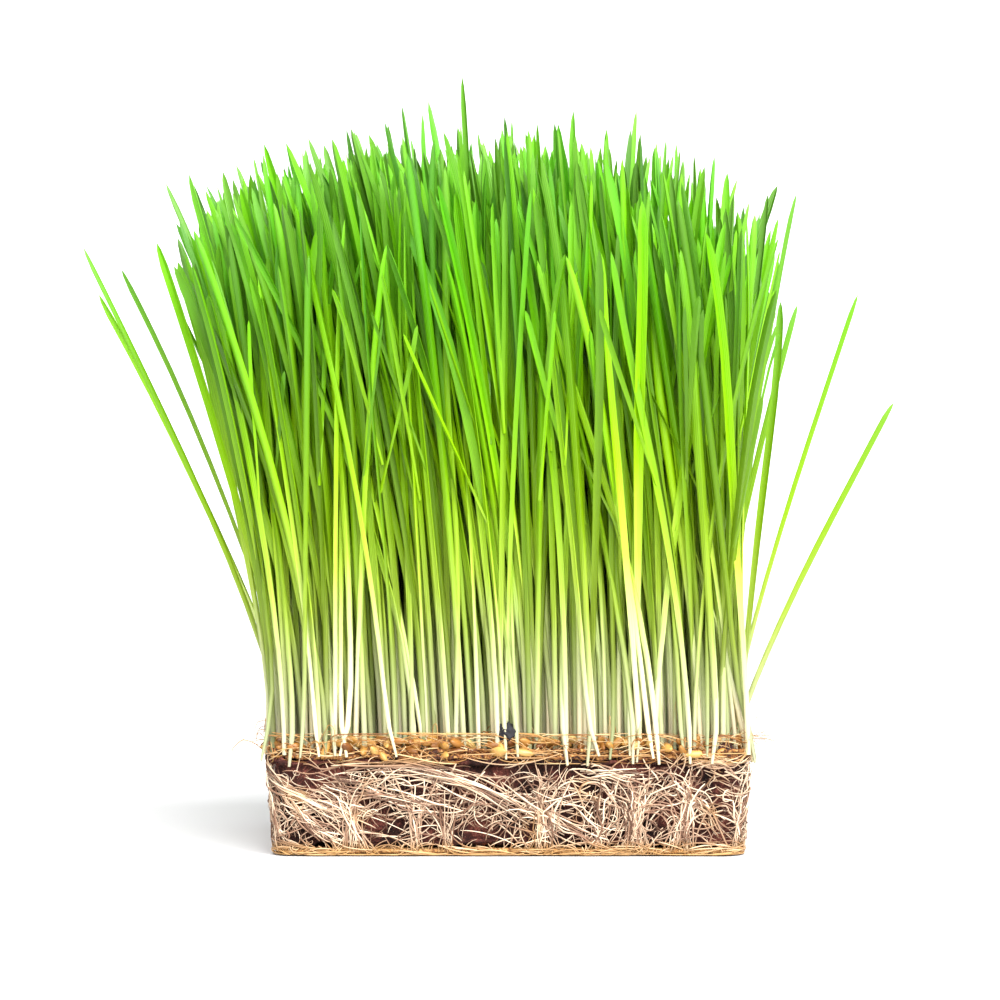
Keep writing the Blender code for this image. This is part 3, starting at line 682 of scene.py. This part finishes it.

# Mat of husks and root hairs under the grains: fibrous and golden on its knots, with painted shade in its
# gaps, where the dark brown follows the hollows of its fibre bump.
fibrous, tree, shader = new_material("fibrous seed mat", 0.8)
place = add_node(tree, "ShaderNodeTexCoord").outputs["Object"]
fibres = add_node(
    tree, "ShaderNodeTexNoise", {"Vector": place, "Scale": 1 / 0.0024, "Detail": 6.0, "Distortion": 2.0}
)
# Painted shade: the dark brown end of this ramp falls in the hollows of the fibre bump, below the mat's own
# golden and brown fibres.
golds = add_node(
    tree,
    "ShaderNodeValToRGB",
    {"Fac": fibres.outputs["Fac"]},
    stops=((0.36, "#2a120a"), (0.46, "#663718"), (0.56, "#9c6830"), (0.68, "#c6985a")),
)
coat(tree, shader, golds.outputs["Color"], fibres.outputs["Fac"], strength=0.9, depth=0.0010)
hand_over(seed_mat, fibrous, "grain", "seed_layer")

# Two crumbs that the shoots lifted with them: an almost black one at mid-front, a red-brown one at the right.
for index, (along, height, radius, colour) in enumerate(LUMPS):
    place, _ = side_points(np.array(along), np.array(height), LUMP_INSET)
    bpy.ops.mesh.primitive_ico_sphere_add(subdivisions=4, radius=radius, location=tuple(place))
    crumb = bpy.context.object
    crumb.name = f"lifted_crumb_{index + 1}"
    bpy.ops.object.transform_apply(location=True, rotation=True, scale=True)
    roughen(crumb, LUMP_RELIEF)
    lump, tree, shader = new_material(f"lifted crumb {index + 1}", 0.8)
    place = add_node(tree, "ShaderNodeTexCoord").outputs["Object"]
    crumbs = add_node(tree, "ShaderNodeTexNoise", {"Vector": place, "Scale": 1 / 0.0014, "Detail": 6.0})
    shades = add_node(
        tree,
        "ShaderNodeValToRGB",
        {"Fac": crumbs.outputs["Fac"]},
        stops=((0.35, "#0d0908"), (0.68, colour)),
    )
    coat(tree, shader, shades.outputs["Color"])
    hand_over(crumb, lump, "soil")


# Seedlings: over eighteen hundred young barley shoots in 15 patches. Each is a pale, rolled sheath that opens
# into a folded blade with a pointed tip, and more than a third have a second, narrower leaf. Those of the
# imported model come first, by its own rule and in its own order, and the rest fill the stand between them.
GAP = 0.0003
RIM_BAR = 0.0050
INNER_BAR = 0.0026
TUFT_ROWS = 3
TUFT_COLUMNS = 5
SHOOT_ROWS = 4
SHOOT_COLUMNS = 5
FOOT_HEIGHT = 0.0372
SHOOT_LENGTH = 0.226
EDGE_LOSS = 0.026
STEM_WIDTH = 0.0023
BLADE_WIDTH = 0.0046
BLADE_THICKNESS = 0.0009
FLARE_X = 0.17
FLARE_Y = 0.24
WIND_LEAN = -0.011
LEAN_SPREAD = 0.013
CLEARANCE = 0.0003
LADDER = np.arange(0.039, 0.290, 0.004)
TRIES = 90
SECOND_LEAF_SHARE = 0.11
SECOND_LEAF_WIDTH = 0.0030
SECOND_LEAF_STEM = 0.0014
TIP_SHARE = 0.12
SHOOT_SEED = 13
# Loose blades at both ends, the tallest ones and the furthest leaning: foot x and y, then tip x, y and z.
STRAYS = (
    (-0.0820, -0.0380, -0.1560, -0.0460, 0.2235),
    (-0.0800, -0.0120, -0.1565, -0.0150, 0.2085),
    (-0.0815, 0.0120, -0.1500, 0.0220, 0.2210),
    (-0.0790, -0.0500, -0.1285, -0.0600, 0.2240),
    (-0.0770, 0.0300, -0.1310, 0.0440, 0.2570),
    (0.0820, -0.0300, 0.1320, -0.0320, 0.2070),
    (0.0825, -0.0480, 0.1435, -0.0520, 0.1660),
    (0.0790, 0.0350, 0.1150, 0.0420, 0.2080),
    (-0.0080, -0.0265, -0.0161, -0.0310, 0.2886),
    (-0.0125, 0.0020, -0.0240, 0.0060, 0.2847),
    (-0.0270, -0.0420, -0.0342, -0.0520, 0.2741),
    (0.0400, -0.0130, 0.0478, -0.0170, 0.2779),
    (0.0120, 0.0460, 0.0150, 0.0890, 0.2240),
    (-0.0460, 0.0480, -0.0560, 0.1000, 0.2150),
    (0.0300, -0.0490, 0.0330, -0.1040, 0.2180),
)
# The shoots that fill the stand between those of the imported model.
FILLING_SHOOTS = 1550
CHOICES = 4
FILLING_LEAN = -0.020
FILLING_SPREAD = 0.012
FILLING_REACH = ((-0.122, 0.106), (-0.088, 0.088))
FILLING_MARGIN = 0.0022
FILLING_TWIST = 2.5
FILLING_LEAF_SHARE = 0.42
# Blades as they are seen: rings at these shares of the length, leaf thickness, and the angle of the fold.
SHOOT_SHARES = np.array(
    (0, 0.05, 0.12, 0.2, 0.29, 0.38, 0.48, 0.58, 0.68, 0.78, 0.86, 0.92, 0.955, 0.985, 1.0)
)
LEAF_SHARES = np.array((0, 0.1, 0.25, 0.45, 0.65, 0.8, 0.92, 0.975, 1.0))
LEAF_THICKNESS = 0.00035
FOLD_START = 52.0
FOLD_END = (24.0, 50.0)
SEEN_WIDTH = (0.54, 0.84)
SEEN_STEM = 0.82
SEEN_TIP_SHARE = 0.05
BLADE_WAVE = 0.006
TIP_CURL = 0.015
# Feet that hang over the rim: how near it and how many, how far they slide and drop, and how far out and
# sideways each of the lowest rings moves with them.
RIM_REACH = 0.0060
HUNG_SHARE = 0.3
HUNG_PUSH = (-0.0010, 0.0004)
HUNG_SLIDE = (0.0008, 0.0028)
HUNG_DROP = 0.0045
HUNG_TAPER = 0.5
HUNG_RINGS = ((1.0, 1.0), (0.55, 0.3), (0.12, 0.05))


def patch_box(row, column, shrink):
    """Low and high x and y of one patch, counted from the front left."""
    width = (BLOCK_WIDTH - 2 * RIM_BAR - (TUFT_COLUMNS - 1) * INNER_BAR) / TUFT_COLUMNS
    depth = (BLOCK_DEPTH - 2 * RIM_BAR - (TUFT_ROWS - 1) * INNER_BAR) / TUFT_ROWS
    low_x = RIM_BAR - BLOCK_WIDTH / 2 + column * (width + INNER_BAR)
    low_y = RIM_BAR - BLOCK_DEPTH / 2 + row * (depth + INNER_BAR)
    return low_x + shrink, low_y + shrink, low_x + width - shrink, low_y + depth - shrink


class Shoot:
    """One seedling or leaf, along a path that bends out from its foot to its tip."""

    def __init__(self, foot, tip, bend, width, turn, twist, stem=STEM_WIDTH, opens=0.30):
        self.foot = np.array(foot)
        self.tip = np.array(tip)
        self.bend = bend
        self.width = width
        self.turn = turn
        self.twist = twist
        self.stem = stem
        self.opens = opens

    def place(self, t):
        """The centre of the blade at a share t of its height."""
        out = t**self.bend
        span = self.tip - self.foot
        return np.stack([self.foot[axis] + span[axis] * (out, out, t)[axis] for axis in range(3)], -1)

    def breadth(self, t, tip_share=TIP_SHARE):
        """Width: a slim stem, a blade that opens above it, and a tip that closes at the end."""
        opening = np.clip((t - self.opens * 0.5) / (self.opens * 1.6), 0.0, 1.0)
        opening = opening * opening * (3 - 2 * opening)
        closing = np.sqrt(np.clip((1.0 - t) / tip_share, 0.0, 1.0))
        return (self.stem + (self.width - self.stem) * opening) * closing


class Stand:
    """The seedlings so far, with their places up a ladder of heights, so that a new one passes clear."""

    def __init__(self, most):
        self.places = np.zeros((most, len(LADDER), 2))
        self.halves = np.full((most, len(LADDER)), -1.0)
        self.shoots = []

    def ladder(self, shoot):
        """The shoot's place and half breadth at each height, with -1 where it doesn't reach."""
        share = (LADDER - shoot.foot[2]) / (shoot.tip[2] - shoot.foot[2])
        inside = (share >= 0.0) & (share <= 1.0)
        bounded = np.clip(share, 0.0, 1.0)
        half = np.where(inside, np.maximum(shoot.breadth(bounded), BLADE_THICKNESS) / 2, -1.0)
        return shoot.place(bounded)[:, :2], half

    def room(self, shoot, skip=None):
        """The least clear distance between this shoot and the others, at any height that both reach."""
        count = len(self.shoots)
        if not count:
            return 1.0
        place, half = self.ladder(shoot)
        apart = np.linalg.norm(self.places[:count] - place, axis=2) - self.halves[:count] - half
        apart[(self.halves[:count] < 0) | (half < 0)] = 1.0
        if skip is not None:
            apart[skip] = 1.0
        return float(apart.min())

    def add(self, shoot):
        """Keeps a shoot and its ladder."""
        self.places[len(self.shoots)], self.halves[len(self.shoots)] = self.ladder(shoot)
        self.shoots.append(shoot)


def random_shoot(foot, draw):
    """A seedling at this foot, longest in mid-block, that leans by chance about the lean of the stand."""
    x, y, z = foot
    edge = (abs(x) / (BLOCK_WIDTH / 2)) ** 2.4 * 0.9 + (abs(y) / (BLOCK_DEPTH / 2)) ** 2.4 * 0.5
    length = (SHOOT_LENGTH - EDGE_LOSS * min(edge, 1.2)) * draw.triangular(0.80, 1.07, 0.99)
    out_x = FLARE_X * x + WIND_LEAN + draw.gauss(0.0, LEAN_SPREAD)
    out_y = FLARE_Y * y + draw.gauss(0.0, LEAN_SPREAD * 0.8)
    rise = math.sqrt(length**2 - out_x**2 - out_y**2)
    return Shoot(
        foot,
        (x + out_x, y + out_y, z + rise),
        draw.uniform(1.15, 1.9),
        BLADE_WIDTH * draw.uniform(0.78, 1.12),
        draw.uniform(0.0, math.pi),
        draw.uniform(-0.5, 0.5),
    )


def second_leaf(parent, draw):
    """A younger, narrower leaf that parts from the stem halfway up."""
    fork = draw.uniform(0.42, 0.58)
    foot = parent.place(np.array(fork))
    reach = draw.uniform(0.012, 0.022)
    heading = parent.turn + math.pi / 2 + draw.choice((0.0, math.pi)) + draw.uniform(-0.5, 0.5)
    top = parent.place(np.array(min(1.0, fork + draw.uniform(0.30, 0.42))))
    tip = (top[0] + reach * math.cos(heading), top[1] + reach * math.sin(heading), top[2])
    return Shoot(foot, tip, 1.0, SECOND_LEAF_WIDTH, parent.turn, 0.2, stem=SECOND_LEAF_STEM, opens=0.35)


def home_patch(patches, x, y):
    """The patch whose middle is nearest."""

    def distance(patch):
        low_x, low_y, high_x, high_y = patch_box(*patch, 0.0)
        return math.hypot((low_x + high_x) / 2 - x, (low_y + high_y) / 2 - y)

    return min(patches, key=distance)


def grow_modelled(stand, patches, leaves):
    """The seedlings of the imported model, in the order in which they are drawn there."""
    draw = random.Random(SHOOT_SEED)
    for foot_x, foot_y, tip_x, tip_y, tip_z in STRAYS:
        foot, tip = (foot_x, foot_y, FOOT_HEIGHT), (tip_x, tip_y, tip_z)
        bend = 1.25 if math.dist(foot[:2], tip[:2]) > 0.03 else 1.1
        stray = Shoot(foot, tip, bend, BLADE_WIDTH * 0.9, draw.uniform(0.0, math.pi), 0.3)
        patches[home_patch(patches, foot_x, foot_y)].append(stray)
        stand.add(stray)
    for patch, shoots in patches.items():
        low_x, low_y, high_x, high_y = patch_box(*patch, GAP + STEM_WIDTH / 2 + 0.0002)
        for index in range(SHOOT_ROWS * SHOOT_COLUMNS):
            for _ in range(TRIES):
                share_x = (index % SHOOT_COLUMNS + draw.uniform(0.1, 0.9)) / SHOOT_COLUMNS
                share_y = (index // SHOOT_COLUMNS + draw.uniform(0.1, 0.9)) / SHOOT_ROWS
                foot = (low_x + (high_x - low_x) * share_x, low_y + (high_y - low_y) * share_y, FOOT_HEIGHT)
                shoot = random_shoot(foot, draw)
                if stand.room(shoot) > CLEARANCE:
                    stand.add(shoot)
                    shoots.append(shoot)
                    break
    for patch, shoots in patches.items():
        for parent in shoots:
            if draw.random() > SECOND_LEAF_SHARE:
                continue
            for _ in range(TRIES):
                leaf = second_leaf(parent, draw)
                if stand.room(leaf, skip=stand.shoots.index(parent)) > CLEARANCE:
                    stand.add(leaf)
                    leaves[patch].append(leaf)
                    break


def grow_filling(stand, patches, leaves):
    """The seedlings between those, each in the roomiest of a few places, with wider twists."""
    draw = random.Random(SHOOT_SEED + 1)
    for _ in range(FILLING_SHOOTS):
        options = []
        for _ in range(CHOICES):
            x = draw.uniform(-1, 1) * (BLOCK_WIDTH / 2 - FILLING_MARGIN)
            y = draw.uniform(-1, 1) * (BLOCK_DEPTH / 2 - FILLING_MARGIN)
            shoot = random_shoot((x, y, FOOT_HEIGHT), draw)
            shoot.tip[0] += FILLING_LEAN * (0.5 + x / BLOCK_WIDTH) + draw.gauss(0.0, FILLING_SPREAD)
            shoot.twist *= FILLING_TWIST
            inside = all(low < place < high for place, (low, high) in zip(shoot.tip, FILLING_REACH))
            options.append((stand.room(shoot) - (0.0 if inside else 1.0), len(options), shoot))
        shoot = max(options)[2]
        stand.add(shoot)
        home = home_patch(patches, *shoot.foot[:2])
        patches[home].append(shoot)
        if draw.random() < FILLING_LEAF_SHARE:
            leaf = second_leaf(shoot, draw)
            leaf.width *= draw.uniform(0.8, 1.3)
            leaf.twist = draw.uniform(-0.9, 0.9)
            leaves[home].append(leaf)


def blades(name, template, shoots, shares):
    """Blades along the shoots: round stems that open into thin leaves, folded along the middle."""
    points = points_of(template)
    ring = np.rint(points[:, 2]).astype(int)
    sideways = points[:, 0] / np.abs(points[:, 0]).max()
    front = 2 * points[:, 1]
    count = len(shoots)
    opens = np.array([shoot.opens for shoot in shoots])[:, None]
    centre = np.stack([shoot.place(shares) for shoot in shoots])
    breadth = np.stack([shoot.breadth(shares, SEEN_TIP_SHARE) for shoot in shoots])
    opened = np.clip((shares - opens * 0.4) / (opens * 1.3), 0, 1)
    opened = opened * opened * (3 - 2 * opened)
    breadth *= SEEN_STEM + (growth.uniform(*SEEN_WIDTH, (count, 1)) - SEEN_STEM) * opened
    turn = np.array([shoot.turn + shoot.twist * shares for shoot in shoots])
    length = centre[:, -1, 2] - centre[:, 0, 2]
    # A slow wave along each blade, and a curl at its tip, each towards a heading of its own.
    wave = shares * np.sin(math.tau * shares * growth.uniform(0.5, 1.3, (count, 1)))
    curl = np.clip((shares - 0.7) / 0.3, 0, 1) ** 2
    for size, form in ((BLADE_WAVE, wave), (TIP_CURL, curl)):
        heading = growth.uniform(0, math.tau, (count, 1))
        drift = growth.normal(0, size, (count, 1)) * form * length[:, None]
        centre[..., 0] += drift * np.cos(heading)
        centre[..., 1] += drift * np.sin(heading)
    # Some of the seedlings at the rim hang a tapered foot over it.
    foot = centre[:, 0].copy()
    to_rim = np.array(half_size(RIM_HEIGHT, 0.0)) - np.abs(foot[:, :2])
    nearest = to_rim.argmin(1)
    gap = to_rim.min(1)
    hung = (gap < RIM_REACH) & (foot[:, 2] < RIM_HEIGHT) & (growth.random(count) < HUNG_SHARE)
    each = np.arange(count)
    push = (gap + growth.uniform(*HUNG_PUSH, count)) * hung * np.sign(foot[each, nearest])
    slide = growth.normal(*HUNG_SLIDE, count) * hung
    for ring_index, (outward_part, sideways_part) in enumerate(HUNG_RINGS):
        centre[each, ring_index, nearest] += push * outward_part
        centre[each, ring_index, 1 - nearest] += slide * sideways_part
    centre[:, 0, 2] -= growth.uniform(0.0, HUNG_DROP, count) * hung
    breadth[:, 0] *= np.where(hung, HUNG_TAPER, 1.0)
    ahead = unit(np.gradient(centre, axis=1))
    across = np.stack([np.cos(turn), np.sin(turn), np.zeros_like(turn)], -1)
    across = unit(across - ahead * (across * ahead).sum(-1, keepdims=True))
    face = np.cross(ahead, across)
    fold = np.radians(FOLD_START + (growth.uniform(*FOLD_END, (count, 1)) - FOLD_START) * shares**0.5)
    half = breadth[:, ring] / 2
    rolled = half * 0.9 * front
    leaf = LEAF_THICKNESS / 2 * front * np.clip(half / 0.0008, 0, 1)
    leaf = leaf + (np.abs(sideways) - 0.5) * half * np.tan(fold[:, ring])
    depth = rolled + (leaf - rolled) * opened[:, ring]
    places = centre[:, ring] + across[:, ring] * (half * sideways)[..., None]
    places = places + face[:, ring] * depth[..., None]
    return repeated(
        name,
        template,
        places,
        sharp_over=75,
        across=sideways * opened[:, ring],
        tone=growth.uniform(0, 1, (count, 1)),
        shade=growth.uniform(0, 1, (count, 1)),
    )


shoot_rod = ringed_rod("seedling", 6, len(SHOOT_SHARES) - 1, closed_tip=True)
leaf_rod = ringed_rod("second leaf", 4, len(LEAF_SHARES) - 1, closed_tip=True)
patches = {(row, column): [] for row in range(TUFT_ROWS) for column in range(TUFT_COLUMNS)}
leaves = {patch: [] for patch in patches}
stand = Stand(FILLING_SHOOTS + 2 * TUFT_ROWS * TUFT_COLUMNS * SHOOT_ROWS * SHOOT_COLUMNS)
grow_modelled(stand, patches, leaves)
grow_filling(stand, patches, leaves)

# Young barley leaf: white to pale green low down, grass green above, satin, with seven veins from edge to
# edge, fewer than the real ones so that they show. Leaves differ from yellow green to blue green and from
# dark to light, and light comes through them. The veins are a wave, which reaches this angle at an edge.
VEIN_ANGLE = 22.0
grass, tree, shader = new_material("young barley leaf", 0.42)
output = tree.nodes["Material Output"]
place = add_node(tree, "ShaderNodeTexCoord").outputs["Object"]
height = add_node(tree, "ShaderNodeSeparateXYZ", {"Vector": place}).outputs["Z"]
across, tone, shade = (
    add_node(tree, "ShaderNodeAttribute", attribute_name=name).outputs["Fac"]
    for name in ("across", "tone", "shade")
)
wander = add_node(tree, "ShaderNodeMath", {0: shade, 1: -0.036, 2: 0.018}, operation="MULTIPLY_ADD")
level = add_node(tree, "ShaderNodeMath", {0: height, 1: wander.outputs[0]}, operation="ADD")
rise = add_node(tree, "ShaderNodeMapRange", {"Value": level.outputs[0], "From Min": 0.03, "From Max": 0.28})
greens = add_node(
    tree,
    "ShaderNodeValToRGB",
    {"Fac": rise.outputs[0]},
    stops=(
        (0.03, "#f7ecca"),
        (0.08, "#eef2c0"),
        (0.16, "#e2ef9c"),
        (0.25, "#cbe75c"),
        (0.40, "#aedf2c"),
        (0.55, "#9bd82e"),
        (0.72, "#8ad63a"),
        (0.90, "#90da50"),
    ),
)
tints = add_node(
    tree,
    "ShaderNodeValToRGB",
    {"Fac": tone},
    stops=((0.0, "#cfe85a"), (0.25, "#e9f59a"), (0.5, "#ffffff"), (0.8, "#ccf0bc"), (1.0, "#aee0b4")),
)
tint_share = add_node(
    tree,
    "ShaderNodeMapRange",
    {"Value": height, "From Min": 0.07, "From Max": 0.20, "To Min": 0.1, "To Max": 0.7},
)
tinted = add_node(
    tree,
    "ShaderNodeMix",
    {0: tint_share.outputs[0], 6: greens.outputs["Color"], 7: tints.outputs["Color"]},
    data_type="RGBA",
    blend_type="MULTIPLY",
)
vein_angle = add_node(tree, "ShaderNodeMath", {0: across, 1: VEIN_ANGLE}, operation="MULTIPLY")
veins = add_node(tree, "ShaderNodeMath", {0: vein_angle.outputs[0]}, operation="SINE")
vein_light = add_node(
    tree, "ShaderNodeMath", {0: veins.outputs[0], 1: 0.10, 2: 0.94}, operation="MULTIPLY_ADD"
)
lightness = add_node(tree, "ShaderNodeMath", {0: shade, 1: 0.66, 2: 0.38}, operation="MULTIPLY_ADD")
value = add_node(
    tree, "ShaderNodeMath", {0: vein_light.outputs[0], 1: lightness.outputs[0]}, operation="MULTIPLY"
)
leaf_colour = add_node(
    tree,
    "ShaderNodeHueSaturation",
    {"Saturation": 1.04, "Value": value.outputs[0], "Color": tinted.outputs[2]},
)
coat(tree, shader, leaf_colour.outputs["Color"], veins.outputs[0], strength=0.25, depth=0.0002)
through = add_node(
    tree,
    "ShaderNodeHueSaturation",
    {"Hue": 0.485, "Saturation": 1.05, "Value": 1.15, "Color": leaf_colour.outputs["Color"]},
)
glow = add_node(tree, "ShaderNodeBsdfTranslucent", {"Color": through.outputs["Color"]})
mixed = add_node(tree, "ShaderNodeMixShader", {0: 0.22, 1: shader.outputs[0], 2: glow.outputs[0]})
tree.links.new(mixed.outputs[0], output.inputs["Surface"])

for (row, column), shoots in patches.items():
    node = f"tuft_{row + 1}_{column + 1}"
    tuft = blades(f"seedlings_{row + 1}_{column + 1}", shoot_rod, shoots, SHOOT_SHARES)
    hand_over(tuft, grass, "grass", node)
    if leaves[row, column]:
        extra = blades(f"second_leaves_{row + 1}_{column + 1}", leaf_rod, leaves[row, column], LEAF_SHARES)
        hand_over(extra, grass, "grass", node)


# Studio: a white paper sweep under and behind the block, a soft key from the front right, and a weak light
# from above and behind, so that the shadow falls to the left and the leaves glow a little.
PAPER_SIZE = 8.0
PAPER_RISE = 4.0
PAPER_BEND = 1.5
PAPER_BACK = 3.9
KEY_POWER = 8.4
KEY_SPREAD = math.radians(65)
KEY_TILT = math.radians(44)
KEY_TURN = math.radians(24)
BACK_PLACE = np.array((-0.4, 1.1, 1.3))
BACK_TARGET = np.array((0.0, 0.0, 0.18))
BACK_SIZE = 0.8
BACK_POWER = 8
SKY_LIGHT = 0.8
CAMERA_PLACE = (-0.0033, -1.16, 0.130)
CAMERA_LENS = 108.5

bpy.ops.mesh.primitive_plane_add(size=PAPER_SIZE, location=(0, 0, 0))
floor = bpy.context.object
floor.name = "paper_sweep"
bpy.ops.object.mode_set(mode="EDIT")
select(floor, "EDGE", lambda edge: all(vertex.co.y > PAPER_BACK for vertex in edge.verts))
bpy.ops.mesh.extrude_region_move(TRANSFORM_OT_translate={"value": (0, 0, PAPER_RISE)})
select(floor, "EDGE", lambda edge: all(end.co.y > PAPER_BACK and end.co.z < 0.1 for end in edge.verts))
bpy.ops.mesh.bevel(offset=PAPER_BEND, segments=16)
bpy.ops.object.mode_set(mode="OBJECT")
bpy.ops.object.shade_smooth()
paper, tree, shader = new_material("white paper", 0.9)
shader.inputs["Base Color"].default_value = linear("#c3c3c4")
shader.inputs["Specular IOR Level"].default_value = 0.1
floor.data.materials.append(paper)

scene = bpy.context.scene
world = bpy.data.worlds.new("studio")
scene.world = world
world.use_nodes = True
background = world.node_tree.nodes["Background"]
background.inputs["Color"].default_value = linear("#ffffff")
# The sky lights the block a little less than the white that is seen of it, which keeps the gaps between
# leaves dark.
seen = add_node(world.node_tree, "ShaderNodeLightPath").outputs["Is Camera Ray"]
sky = add_node(world.node_tree, "ShaderNodeMapRange", {"Value": seen, "To Min": SKY_LIGHT, "To Max": 1.0})
world.node_tree.links.new(sky.outputs[0], background.inputs["Strength"])

bpy.ops.object.light_add(type="SUN", rotation=(KEY_TILT, 0, KEY_TURN))
key = bpy.context.object
key.name = "key light"
key.data.energy = KEY_POWER
key.data.angle = KEY_SPREAD
aim = BACK_TARGET - BACK_PLACE
back_tilt = math.atan2(math.hypot(aim[0], aim[1]), -aim[2])
back_turn = math.atan2(aim[1], aim[0]) - math.pi / 2
bpy.ops.object.light_add(type="AREA", location=BACK_PLACE, rotation=(back_tilt, 0, back_turn))
back = bpy.context.object
back.name = "back light"
back.data.size = BACK_SIZE
back.data.energy = BACK_POWER

camera_data = bpy.data.cameras.new("camera")
camera_data.lens = CAMERA_LENS
camera_data.sensor_width = 36.0
camera = bpy.data.objects.new("camera", camera_data)
camera.location = CAMERA_PLACE
camera.rotation_euler = (math.radians(90), 0, 0)
scene.collection.objects.link(camera)
scene.camera = camera
scene.view_settings.view_transform = "Standard"
